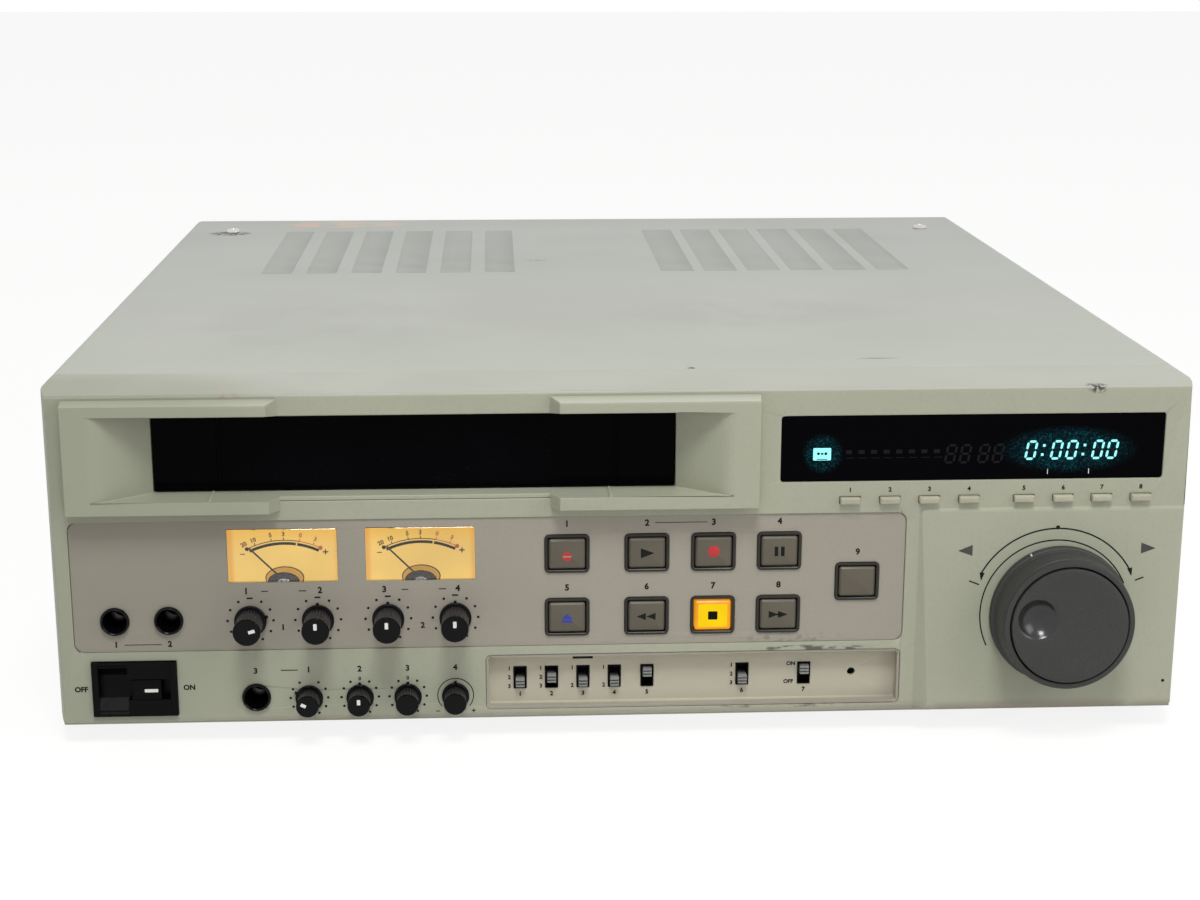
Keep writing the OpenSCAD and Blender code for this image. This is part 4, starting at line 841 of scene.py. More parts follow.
@dataclass
class Case:
    """Steel cover with its ruled vents, the front panel moulding, screws and feet."""

    sheet: float = 1.2
    bend: float = 4.0
    front_edge: float = 36.6
    lip: float = 0.45
    slit: float = 0.9
    slit_reach: float = 3.0
    vent_banks: tuple[Triple, ...] = ((-157.0, 21.2, 14.5), (33.4, 20.8, 16.0))
    vent_columns: int = 6
    vent_start: float = 258.4
    vent_pitch: float = 3.4
    vent_slit: float = 1.1
    vent_rows: int = 40
    top_screws: Point = (186.0, 393.0)
    side_screws: tuple[Point, ...] = ((90.0, 16.0), (380.0, 16.0))
    cross: Point = (1.9, 0.36)
    screw_turn: float = 17.0
    feet: tuple[Point, ...] = ((-185.0, 62.0), (185.0, 62.0), (-185.0, 390.0), (185.0, 390.0))
    foot_height: float = 8.0
    foot_radius: float = 11.0

    def columns(self) -> list[tuple[float, float]]:
        """Left and right edge of every vent column."""
        return [(first + step * i, first + step * i + width)
                for first, step, width in self.vent_banks for i in range(self.vent_columns)]

    def cover(self) -> None:
        """Bent sheet: a path up one side, over the top and down the other, carried from front to back.

        Between x and z the path is a straight side, a quarter circle of the bend radius and the top.
        Its front and back rows are drawn in along the path's normal by a quarter circle of the lip.
        At the bends the front rows stand back by the slit, so that a dark gap is left there.
        Quads that fall in a vent slit are left out, and the sheet gets its thickness inwards.
        """
        turn = np.radians(np.linspace(0, 90, 9))
        edge = CASE_HALF - self.bend
        side = np.column_stack([np.full(6, CASE_HALF), np.linspace(0.2, PANEL_TOP - self.bend, 7)[:-1]])
        around = np.column_stack([np.cos(turn), np.sin(turn)])
        bend = np.array([edge, PANEL_TOP - self.bend]) + self.bend * around
        ends = [edge - self.slit_reach - 0.3, edge - self.slit_reach + 0.3]
        cuts = [np.linspace(-edge, edge, 15)[1:-1], np.ravel(self.columns()), ends, np.negative(ends)]
        cuts = np.unique(np.concatenate(cuts))[::-1]
        top = np.column_stack([cuts, np.full(len(cuts), PANEL_TOP)])
        right = np.vstack([side, bend])
        path = np.vstack([right, top, right[::-1] * [-1, 1]])
        normal = np.vstack([np.tile([1.0, 0.0], (6, 1)), around, np.tile([0.0, 1.0], (len(cuts), 1))])
        normal = np.vstack([normal, normal[:len(right)][::-1] * [-1, 1]])
        slits = self.vent_start + self.vent_pitch * np.arange(self.vent_rows)
        near = self.lip * np.array([0.0, 0.15, 0.5, 1.0])
        rows = np.concatenate([self.front_edge + near, np.linspace(60, self.vent_start - 20, 8), slits,
                               slits + self.vent_slit, np.linspace(400, CASE_DEPTH - 3, 4),
                               CASE_DEPTH - near[::-1]])
        rows = np.sort(rows)
        gap = np.clip(np.minimum(rows - self.front_edge, CASE_DEPTH - rows) / self.lip, 0, 1)
        inward = self.lip * (1 - np.sqrt(1 - (1 - gap) ** 2))
        flat = path[None] - normal[None] * inward[:, None, None]
        bent = (np.abs(path[:, 0]) > edge - self.slit_reach) & (path[:, 1] > PANEL_TOP - self.bend - 0.1)
        back = (rows < self.front_edge + 2 * self.lip)[:, None] & bent[None]
        points = np.stack([flat[..., 0], rows[:, None] + self.slit * back, flat[..., 1]], -1)
        quads = grid_quads(len(rows), len(path))
        middle = points.reshape(-1, 3)[quads].mean(axis=1)
        spans = np.array(self.columns())
        inside = ((middle[:, :1] > spans[:, 0]) & (middle[:, :1] < spans[:, 1])).any(axis=1)
        open_row = ((middle[:, 1:2] > slits) & (middle[:, 1:2] < slits + self.vent_slit)).any(axis=1)
        keep = quads[~(inside & open_row & (middle[:, 2] > PANEL_TOP - 1))]
        piece = Piece("cover_shell", PLAN).add(Shell(points.reshape(-1, 3), keep[:, ::-1]))
        shell = piece.make([COVER_PAINT], stands_for=("top_cover",), slot="cover_paint", crisp=40,
                           closed=False)
        edge_of = np.empty(len(shell.data.loops), dtype=np.int32)
        shell.data.loops.foreach_get("edge_index", edge_of)
        used = np.bincount(edge_of, minlength=len(shell.data.edges))
        sharp = np.empty(len(used), dtype=bool)
        shell.data.attributes["sharp_edge"].data.foreach_get("value", sharp)
        shell.data.attributes["sharp_edge"].data.foreach_set("value", sharp | (used == 1))
        wall = shell.modifiers.new("sheet", "SOLIDIFY")
        wall.thickness, wall.offset, wall.use_even_offset = self.sheet / 1000, -1.0, True

    def screw(self) -> list[Shell]:
        """Pan head with a cross recess, and its shank.

        The head is a run of rings that change from circles to the plus sign's outline: point i of a ring is
        the circle's point at the polar angle of the outline's point i. The last rings go down the recess.
        """
        arm, half = self.cross
        corner = np.array([(arm, -half), (arm, half), (half, half)])
        quarters = np.radians([0, 90, 180, 270])
        turns = [np.array([[math.cos(a), math.sin(a)], [-math.sin(a), math.cos(a)]]) for a in quarters]
        outline = np.vstack([corner @ t for t in turns])
        share = np.linspace(0, 1, 4, endpoint=False)[None, :, None]
        following = np.roll(outline, -1, axis=0)
        plus = (outline[:, None] * (1 - share) + following[:, None] * share).reshape(-1, 2)
        angle = np.arctan2(plus[:, 1], plus[:, 0])
        circle = np.column_stack([np.cos(angle), np.sin(angle)])
        rings = [(circle * 3.2, 0.0), (circle * 3.6, 0.35), (circle * 3.5, 1.0), (circle * 3.0, 1.55),
                 (circle * 2.4, 1.8), (plus, 1.9), (plus * 0.96, 1.8), (plus * 0.8, 0.7)]
        head = loft(np.array([raised(flat, w) for flat, w in rings]))
        return [head, turned([(1.5, -4.6), (1.7, -4.2), (1.7, 0.2)], 20)]

    def screws(self) -> None:
        """The screws of the cover and of the feet."""
        piece = Piece("screws", PLAN)
        for side in (-1, 1):
            seats = [replace(PLAN, at=(side * self.top_screws[0], self.top_screws[1], PANEL_TOP))]
            seats += [sideways(side, (side * CASE_HALF, y, z)) for y, z in self.side_screws]
            for seat in seats:
                for shell in self.screw():
                    piece.add(shell.spun(self.screw_turn * side), 0, seat)
        for x, y in self.feet:
            for shell in self.screw():
                piece.add(shell, 0, Seat((x, y, 4.0 - self.foot_height), (1, 0, 0), (0, -1, 0), (0, 0, -1)))
        piece.make([CHROME], stands_for=("case_screws",), slot="nickel")

    def soles(self) -> None:
        """Rubber feet: a turned profile with a screw recess and a softly rounded sole."""
        r, h = self.foot_radius, self.foot_height
        profile = [(1.8, 0.0), (r - 3, 0.0), (r - 3, -0.2), (r, -0.2), (r, 2.0 - h), (r - 0.4, 1.0 - h),
                   (r - 1.2, 0.2 - h), (r - 2.0, -h), (4.6, -h), (4.1, 0.3 - h), (4.0, 4.0 - h),
                   (1.8, 4.0 - h)]
        piece = Piece("soles", PLAN)
        for x, y in self.feet:
            piece.add(turned(profile, 48, wrapped=True).shifted(x, y))
        piece.make([RUBBER], stands_for=("feet",), slot="foot_rubber")

    def build(self) -> None:
        """Cover, panel, chassis, screws and feet."""
        self.cover()
        edged_copy("front_panel", PANEL_PLASTIC, 0.3)
        self.screws()
        self.soles()
        finish_node("base_chassis", ZINC)


# Cassette mouth


@dataclass
class CassetteMouth:
    """Bezel with its wings and the gloss flap that hides the cassette's slot."""

    middle: float = -75.75
    half: float = 94.5
    floor: float = 86.3
    flap_back: float = 9.5
    flap_front: float = 7.5
    flap_low: float = 86.7
    flap_high: float = 116.7
    hinge: Point = (8.5, 115.4)
    groove: float = 71.5
    ribs: tuple[float, float] = (-148.7, -5.6)
    wing_in: float = 46.0
    seam: tuple[float, float] = (118.45, 119.5)

    def flap(self) -> None:
        """Flap: a section of back, front and two pairs of grooves, carried upwards; its ends are drawn in.

        At height v the section (u, w) is shrunk towards its middle depth by the end rounding.
        """
        half = self.half - 0.4
        front: list[Point] = [(-half, -self.flap_front - 0.4), (-half + 0.4, -self.flap_front)]
        marks = sorted([side * self.groove + shift for side in (-1, 1) for shift in (0.0, 1.4)])
        groove = ((0.0, 0.0), (0.1, 0.3), (0.5, 0.3), (0.6, 0.0))
        for m in marks:
            front += [(m + across, -self.flap_front - deep) for across, deep in groove]
        front += [(half - 0.4, -self.flap_front), (half, -self.flap_front - 0.4)]
        section = np.array([(-half, -self.flap_back)] + front + [(half, -self.flap_back)])
        centre = np.array([0.0, -(self.flap_back + self.flap_front) / 2])
        rows = []
        low, high = self.flap_low, self.flap_high
        for v, keep in ((low, 0.6), (low + 0.4, 1.0), (high - 0.5, 1.0), (high, 0.5)):
            ring = centre + (section - centre) * [1.0, keep]
            rows.append(np.column_stack([ring[:, 0] + self.middle, np.full(len(ring), v), ring[:, 1]]))
        piece = Piece("flap").add(loft(np.array(rows)))
        for side in (-1, 1):
            seat = sideways(side, (self.middle + side * (half - 1), *self.hinge))
            piece.add(turned([(1.0, 0.0), (1.0, 3.2), (0.8, 3.5)], 20), 0, seat)
        piece.make([FLAP_GLOSS], "cassette_flap", ("cassette_flap",), "flap_gloss")

    def rib_pair(self) -> None:
        """Two low beads that run from front to back on the mouth's floor."""
        piece = Piece("mouth_ribs")
        angle = np.radians(np.linspace(0, 180, 9))
        arch = np.column_stack([0.7 * np.cos(angle), 0.75 * np.sin(angle)])
        for x in self.ribs:
            foot = np.array([x, self.floor - 0.1])
            rings = [raised(foot + arch * k, w) for w, k in ((-6.8, 1.0), (5.6, 1.0), (6.3, 0.4))]
            piece.add(loft(np.array(rings)))
        piece.make([PANEL_PLASTIC], slot="panel_plastic")

    def seam_strip(self) -> None:
        """Flush strip in the seam between the panel and the bezel's upper edge, from wing to wing."""
        reach = self.half - self.wing_in - 0.1
        low, high = self.seam
        strip = box((self.middle - reach, low, -0.5), (self.middle + reach, high, 0.02))
        Piece("bezel_seam_strip").add(strip).make([PANEL_PLASTIC], slot="panel_plastic")

    def build(self) -> None:
        """Bezel, its seam, the flap and the ribs of the floor."""
        edged_copy("cassette_bezel", PANEL_PLASTIC, 0.3, segments=3)
        self.seam_strip()
        self.flap()
        self.rib_pair()


# Controls


class Sign(Enum):
    """What is printed on a push button."""

    DUB = "dub"
    PLAY = "play"
    RECORD = "record"
    PAUSE = "pause"
    EJECT = "eject"
    REWIND = "rewind"
    STOP = "stop"
    FORWARD = "forward"
    BARE = "bare"


@dataclass(frozen=True)
class ButtonSpec:
    """One push button: its node, its place and its sign."""

    node: str
    at: Point
    sign: Sign


BUTTON_ROWS = (
    (63.3, (-21.2, 8.0, 32.4, 56.6),
     (("audio_dub", Sign.DUB), ("play", Sign.PLAY), ("record", Sign.RECORD), ("pause", Sign.PAUSE))),
    (39.0, (-21.2, 8.0, 32.4, 56.6),
     (("eject", Sign.EJECT), ("rewind", Sign.REWIND), ("stop", Sign.STOP), ("fast_forward", Sign.FORWARD))),
    (51.2, (85.6,), (("digital", Sign.BARE),)))
BUTTONS = tuple(ButtonSpec(name + "_button", (x, z), sign)
                for z, places, row in BUTTON_ROWS for x, (name, sign) in zip(places, row))


@dataclass
class PushButtons:
    """Bevelled caps in black surrounds, with the usual transport signs."""

    half: Point = (8.1, 7.2)
    wall: float = 1.2
    cap_half: Point = (6.66, 5.7)
    rim: float = 1.3
    face: float = 0.5

    def surround(self) -> Shell:
        """Black frame: outer wall, rounded rim and an inner wall that leans inwards."""
        levels = [(0.0, -7.5), (0.0, -0.1), (0.12, 0.1), (0.35, 0.2), (0.8, 0.2), (1.05, 0.0),
                  (self.wall, -1.2), (self.wall, -7.5)]
        return pad(self.half, 1.5, levels, wrapped=True)

    def cap(self, spec: ButtonSpec) -> None:
        """Cap with its bevelled edge, its sign and the stem behind it."""
        top = self.face
        levels = [(0.4, -4.0), (0.0, -3.8), (0.0, top - 0.95), (0.12, top - 0.8), (0.72, top - 0.1),
                  (0.95, top)]
        piece = Piece(spec.node + "_cap", FRONT.moved(*spec.at)).add(pad(self.cap_half, 0.9, levels))
        piece.add(turned([(2.5, -10.5), (2.5, -3.9)], 24)).add_all(self.sign(spec.sign, top))
        looks, slot = [CAP_PLASTIC, PRINT_DARK, PRINT_RED, PRINT_BLUE, KEY_PLASTIC], "button_plastic"
        if spec.sign is Sign.STOP:
            bright = (self.cap_half[0] - self.rim, self.cap_half[1] - self.rim)
            piece.add(pad(bright, 0.5, [(0, top - 0.2), (0, top + 0.02)]), 1)
            looks, slot = [STOP_AMBER, STOP_BRIGHT, SHADE_BLACK], "stop_amber"
        piece.make(looks, spec.node, (spec.node,), slot)

    def sign(self, sign: Sign, top: float) -> Parts:
        """The printed sign.

        Args:
            sign: Which sign.
            top: Height of the cap's face.

        Returns:
            Shells with the number of their finish.
        """
        low, high = top - 0.1, top + PRINT

        def wedge(x: float, length: float, half: float) -> Shell:
            """Triangle from its base at x to its tip at x plus length."""
            side = math.copysign(half, length)
            return slab([(x, -side), (x + length, 0), (x, side)], low, high)

        def bar(lo: Point, hi: Point, lift: float = 0.0) -> Shell:
            """Printed bar between two corners."""
            return box((*lo, low), (*hi, high + lift))

        shapes: dict[Sign, Parts] = {
            Sign.PLAY: [(wedge(-2.3, 5.0, 1.9), 1)],
            Sign.PAUSE: [(bar((x, -1.8), (x + 1.35, 1.8)), 1) for x in (-1.85, 0.5)],
            Sign.RECORD: [(dot(2.2, low, high, 40).shifted(0, 0.3), 2)],
            Sign.DUB: [(dot(1.75, low, high, 40).shifted(0, -0.9), 2),
                       (bar((-1.5, -1.1), (1.5, -0.75), PRINT), 4)],
            Sign.EJECT: [(slab([(-2.0, -0.6), (2.0, -0.6), (0, 1.5)], low, high), 3),
                         (bar((-1.9, -1.9), (1.9, -1.0)), 3)],
            Sign.REWIND: [(wedge(x, -3.4, 1.35), 1) for x in (-0.3, 3.3)],
            Sign.FORWARD: [(wedge(-3.5, 3.6, 1.35), 1), (wedge(0.0, 3.6, 1.35), 1),
                           (bar((-0.6, -0.3), (0.6, 0.3)), 1)],
            Sign.STOP: [(pad((1.75, 1.6), 0.3, [(0, low), (0, high + 0.02)]), 2)],
            Sign.BARE: [],
        }
        return shapes[sign]

    def build(self) -> None:
        """All nine caps."""
        for spec in BUTTONS:
            self.cap(spec)


@dataclass
class SlideSwitches:
    """Seven slide switches in the sunken tray, and the power switch at the left."""

    places: tuple[float, ...] = (-38.6, -26.9, -15.2, -3.5, 8.7, 44.3, 67.5)
    rest: tuple[float, ...] = (-0.9, 0.0, -1.0, -0.95, 1.0, -0.9, 1.0)
    height: float = 14.0
    floor: float = -5.0
    slot: Point = (3.7, 7.5)
    knob: float = 3.6
    power: Point = (-179.5, 14.0)
    power_half: Point = (15.35, 10.4)
    power_knob: Point = (-175.1, 14.0)
    power_knob_half: Point = (5.4, 3.8)

    def body(self, x: float) -> Parts:
        """One switch body: a thin rim flush with the tray's floor and the dark well behind it."""
        u, v, f = self.slot[0] / 2, self.slot[1] / 2, self.floor
        rim = pad((u + 0.5, v + 0.5), 0.3, [(0, -6.4), (0, f + 0.2), (0.1, f + 0.3), (0.4, f + 0.3),
                                            (0.5, f + 0.1), (0.5, -6.4)], True)
        well = pad((u + 1.2, v + 1.6), 0.4, [(0, -12.0), (0, -6.5), (1.2, -6.5), (1.2, -10.0), (1.3, -10.0),
                                             (1.3, -12.0)], True)
        back = box((-u - 0.3, -v - 0.3, -12.0), (u + 0.3, v + 0.3, -10.0))
        return [(shell.shifted(x, self.height), look) for shell, look in ((rim, 0), (well, 1), (back, 1))]

    def knobs(self) -> None:
        """Switch knobs: a block with three rounded ridges across its front."""
        half = self.slot[0] / 2 - 0.2
        reach = (self.slot[1] - self.knob) / 2 - 0.2
        for i, (x, rest) in enumerate(zip(self.places, self.rest)):
            node = f"switch_knob_{i + 1}"
            piece = Piece(node + "_ridged", FRONT.moved(x, self.height + rest * reach))
            piece.add(pad((half, self.knob / 2), 0.25, [(0.1, -9.8), (0, -9.6), (0, -3.8), (0.15, -3.6)]))
            for z in (-1, 0, 1):
                ridge = pad((half, 0.36), 0.2, [(0, -3.9), (0, -2.9), (0.1, -2.65), (0.2, -2.6)])
                piece.add(ridge.shifted(0, z * self.knob / 3))
            piece.make([SWITCH_GREY], node, (node,), "switch_plastic")

    def power_housing(self) -> Parts:
        """Black housing: a frame with a channel, and at its left a hollow whose walls slope to it."""
        w, h = self.power_half
        kh = self.power_knob_half[1] + 0.2
        left, right = -w + 2.3, w - 2.35
        blocks = [box((-w, -h, -14.0), (w, h, -9.0)), box((-w, -h, -9.5), (left, h, 1.2)),
                  box((right, -h, -9.5), (w, h, 1.2))]
        rims = []
        for s in (-1, 1):
            lo, hi = sorted((s * kh, s * h))
            blocks.append(box((left + 10.6, lo, -9.5), (right + 0.1, hi, 1.2)))
            section = np.array([(kh, -9.5), (kh, -3.4), (h - 2.2, 0.5), (h - 1.6, 0.55), (h - 1.0, 1.2),
                                (h, 1.2), (h, -9.5)]) * [s, 1]
            rings = [np.column_stack([np.full(len(section), u), section]) for u in (left - 0.1, left + 10.7)]
            rims.append(loft(np.array(rings)))
        flange = box((-w - 0.6, -h + 1, -4.5), (w + 0.6, h - 1, -3.0))
        return [(shell.shifted(*self.power), 0) for shell in blocks + rims + [flange]]

    def power_slider(self) -> None:
        """Power knob with its white bar and a thin raised edge."""
        piece = Piece("power_knob", FRONT.moved(*self.power_knob))
        levels = [(0.1, -8.8), (0, -8.6), (0, 1.35), (0.12, 1.55), (0.3, 1.6), (0.55, 1.6), (0.7, 1.35)]
        piece.add(pad(self.power_knob_half, 0.4, levels))
        piece.add(pad((2.45, 0.62), 0.3, [(0, 1.2), (0, 1.35 + PRINT)]).shifted(1.7, -0.4), 1)
        piece.make([BLACK_PLASTIC, PRINT_WHITE], "power_slider", ("power_slider",), "black_plastic")

    def build(self, buttons: PushButtons) -> None:
        """The black mouldings of the whole panel, and the knobs that slide in them."""
        piece = Piece("black_mouldings")
        for spec in BUTTONS:
            piece.add(buttons.surround().shifted(*spec.at), 2)
        for x in self.places:
            piece.add_all(self.body(x))
        piece.add_all(self.power_housing())
        looks = [BLACK_PLASTIC, SHADE_BLACK, SURROUND_BLACK]
        piece.make(looks, stands_for=("switch_frames",), slot="black_plastic")
        self.knobs()
        self.power_slider()


@dataclass(frozen=True)
class KnobSpec:
    """One turning knob: its node, place, first pointer angle and whether it has a white bar."""

    node: str
    at: Point
    turn: float
    bar: bool


LEVEL_KNOBS = tuple(KnobSpec(f"level_knob_{i + 1}", (x, z), t, True)
                    for i, (x, z, t) in enumerate(((-136.6, 39.4, 75), (-112.1, 39.4, 0), (-86.6, 39.4, 0),
                                                   (-62.1, 39.5, 0))))
TRIM_KNOBS = tuple(KnobSpec(f"trim_knob_{i + 1}", (x, 9.3), t, bar)
                   for i, (x, t, bar) in enumerate(((-116.2, -65, True), (-97.6, 0, True), (-80.0, 0, False),
                                                    (-62.5, 0, False))))


@dataclass
class Knob:
    """Turned knob: skirt with an index nub, fluted grip, dished cap and shaft."""

    skirt: float
    grip: float
    cap: float
    foot: float
    out: float
    flutes: int = 28

    def shells(self, bar: bool) -> Parts:
        """The knob's shells.

        The grip is a fluted surface: radius = grip + depth * (|cos(flutes * a / 2)| - 1), a round the axis,
        carried from the skirt to the cap while it narrows a little.

        Args:
            bar: Whether the cap carries a white bar.

        Returns:
            Shells with the number of their finish.
        """
        f, out = self.foot, self.out
        r = self.skirt
        skirt = turned([(r - 0.4, f + 0.35), (r, f + 0.5), (r, f + 1.2), (r - 0.35, f + 1.6),
                        (self.grip - 0.5, f + 1.7)], 56)
        a = np.linspace(0, 2 * math.pi, self.flutes * 6, endpoint=False)
        wave = np.abs(np.cos(self.flutes * a / 2)) - 1
        rows = [(f + 1.5, 0.0, 0.3), (f + 2.4, 0.0, 0.3), (out - 2.2, -0.2, 0.3), (out - 1.5, -0.35, 0.15)]
        around = np.stack([np.cos(a), np.sin(a)])
        rings = [raised(((self.grip + shrink + depth * wave) * around).T, w) for w, shrink, depth in rows]
        c = self.cap
        cap = turned([(c - 0.9, out - 2.0), (c - 0.15, out - 1.5), (c, out - 1.1), (c, out - 0.6),
                      (c - 0.25, out - 0.18), (c - 0.7, out), (c - 1.1, out - 0.03), (0.0, out - 0.12)], 56)
        shaft = turned([(3.0, -9.0), (3.0, f + 0.6)], 28)
        nub = box((-0.5, self.skirt - 0.5, f + 0.5), (0.5, self.skirt + 0.75, f + 1.25))
        made = [(skirt, 0), (loft(np.array(rings)), 1), (cap, 0), (shaft, 0), (nub, 0)]
        if bar:
            low, high = c * 0.14, c * 0.62
            white = pad((0.62, (high - low) / 2), 0.2, [(0, out - 0.3), (0, out - 0.02)])
            made.append((white.shifted(0, (low + high) / 2), 2))
        return made


@dataclass
class Knobs:
    """Four level knobs and four trim knobs."""

    level: Knob = field(default_factory=lambda: Knob(5.85, 4.9, 5.0, -0.5, 13.5))
    trim: Knob = field(default_factory=lambda: Knob(5.05, 4.0, 4.15, 0.0, 10.0, 24))

    def build(self) -> None:
        """All eight knobs, each turned to where its pointer stands."""
        for shape, specs in ((self.level, LEVEL_KNOBS), (self.trim, TRIM_KNOBS)):
            for spec in specs:
                piece = Piece(spec.node + "_fluted", FRONT.moved(*spec.at).turned(spec.turn))
                piece.add_all(shape.shells(spec.bar))
                piece.make([KNOB_BLACK, KNOB_GRIP, PRINT_WHITE], spec.node, (spec.node,), "knob_black")


@dataclass
class Jacks:
    """Glossy jack collars, funnel-shaped towards the plug's bore."""

    places: tuple[Triple, ...] = ((-185.5, 39.8, -0.5), (-166.1, 39.9, -0.5), (-135.5, 9.9, 0.0))
    collar: float = 5.3
    bore: float = 3.3

    def build(self) -> None:
        """Three collars with their barrels and bodies."""
        piece = Piece("jack_collars")
        for x, z, f in self.places:
            ring = [(self.bore, -18), (self.bore, -1.6), (self.bore + 0.4, -0.6), (4.1, 0.6), (4.5, 1.25),
                    (4.8, 1.4), (5.1, 1.2), (self.collar, 0.7), (self.collar, 0.02), (4.7, 0), (4.7, -18)]
            parts = [(turned(ring, 56, wrapped=True), 0),
                     (pad((6.4, 6.4), 0.6, [(0, -21.5), (0, -3.2), (1.9, -3.0), (1.9, -21.5)], True), 1),
                     (dot(4.6, -21.0, -18.5, 40), 1),
                     (turned([(3.0, -18.5), (3.0, -17.0), (0.0, -16.4)], 32), 2)]
            piece.add_all(parts, FRONT.moved(x, z, f))
        piece.make([KNOB_BLACK, SHADE_BLACK, CHROME], stands_for=("panel_jacks",), slot="black_plastic")


@dataclass
class Meters:
    """Two sound meters: lit scale plates, printed scales, pivot covers and needles."""

    centres: tuple[Point, ...] = ((-124.25, 64.0), (-74.5, 64.0))
    depth: float = 8.0
    scale_middle: float = -26.3
    scale_radius: float = 30.0
    pivot: float = -10.4
    squash: float = 0.62
    marks: tuple[tuple[str, float, float, int], ...] = (
        ("20", -27.0, 2.0, 6), ("10", -20.3, 2.1, 6), ("5", -8.6, 2.3, 6), ("3", -0.2, 2.3, 6),
        ("0", 10.8, 2.3, 2), ("3", 20.7, 2.3, 2))
    rounds: tuple[tuple[tuple[Point, ...], int, bool, int], ...] = (
        (((6.9, -8.1), (6.9, -7.0), (6.7, -6.8), (6.1, -6.9), (5.9, -7.2), (0, -7.2)), 48, False, 3),
        (((6.95, -7.4), (7.1, -7.1), (6.95, -6.75), (6.7, -6.72), (6.7, -7.4)), 48, True, 5),
        (((1.9, -2.95), (5.6, -2.95), (5.8, -2.8), (5.2, -2.3), (3.6, -2.12), (2.4, -2.1), (1.9, -2.5)),
         48, True, 5),
        (((2.2, -2.9), (2.2, -2.25), (2.0, -2.1), (1.5, -2.12), (1.2, -2.4), (0, -2.45)), 40, False, 4))

    def scale(self) -> Parts:
        """Printed scale: a thin arc over a heavy one, with ticks and plain numbers round their centre."""
        low, high, r = -ROOT, PRINT, self.scale_radius
        arcs = ((0.0, 0.3, -26.6, 10.7, 1), (0.0, 0.3, 10.7, 26.2, 2), (1.2, 1.05, -25.8, 8.7, 1),
                (1.2, 1.05, 9.6, 25.9, 1))
        made = [(arc(r - inset, width, start, end, low, high), look)
                for inset, width, start, end, look in arcs]
        for angle, look, size in ((-26.7, 1, 0.75), (26.2, 2, 0.8)):
            made.append((dot(size, low, high + 0.01).shifted(0, r).spun(angle), look))
        for text, angle, gap, look in self.marks:
            made.append((lettering(text, 2.2, low, high).shifted(0, r + gap).spun(angle), look))
            if text != "20":
                tick = box((-0.16, r + 0.1, low), (0.16, r + 1.0, high))
                made.append((tick.spun(angle), 1 if look == 6 else look))
        placed = [(shell.shifted(0, self.scale_middle), look) for shell, look in made]
        signs = ((-16.0, -1.6, -14.2, -1.25, 6), (14.0, -1.15, 16.0, -0.7, 1), (14.8, -1.9, 15.25, 0.05, 1))
        return placed + [(box((a, b, low), (c, d, high)), look) for a, b, c, d, look in signs]

    def build(self) -> None:
        """Housings with their plates and scales, and the low arched covers of the pivots."""
        piece = Piece("meter_faces")
        for x, z in self.centres:
            housing = pad((20.7, 12.5), 0.5, [(0, -24), (0, -2.0), (1.3, -2.0), (1.3, -24)], True)
            plate = pad((19.6, 11.4), 0.3, [(0, -23.9), (0, -self.depth)])
            piece.add_all([(housing, 0), (plate, 0)], at=(x, z - 1.5))
            piece.add_all(self.scale(), FRONT.moved(x, z, -self.depth))
            hub = FRONT.moved(x, z + self.pivot)
            for profile, turns, wrapped, look in self.rounds:
                shell = turned(profile, turns, wrapped)
                shell.points[:, 1] *= self.squash
                piece.add(shell, look, hub)
            piece.add(turned([(0.6, -8.0), (0.6, -2.2)], 16), 4, hub)
        piece.make([METER_GLOW, METER_INK, PRINT_ORANGE, AMBER_RIM, CHROME, BRONZE, METER_NUMBER],
                   stands_for=("level_meters",), slot="meter_glow")
        for i in (1, 2):
            finish_node(f"meter_needle_{i}", NEEDLE)


# Display


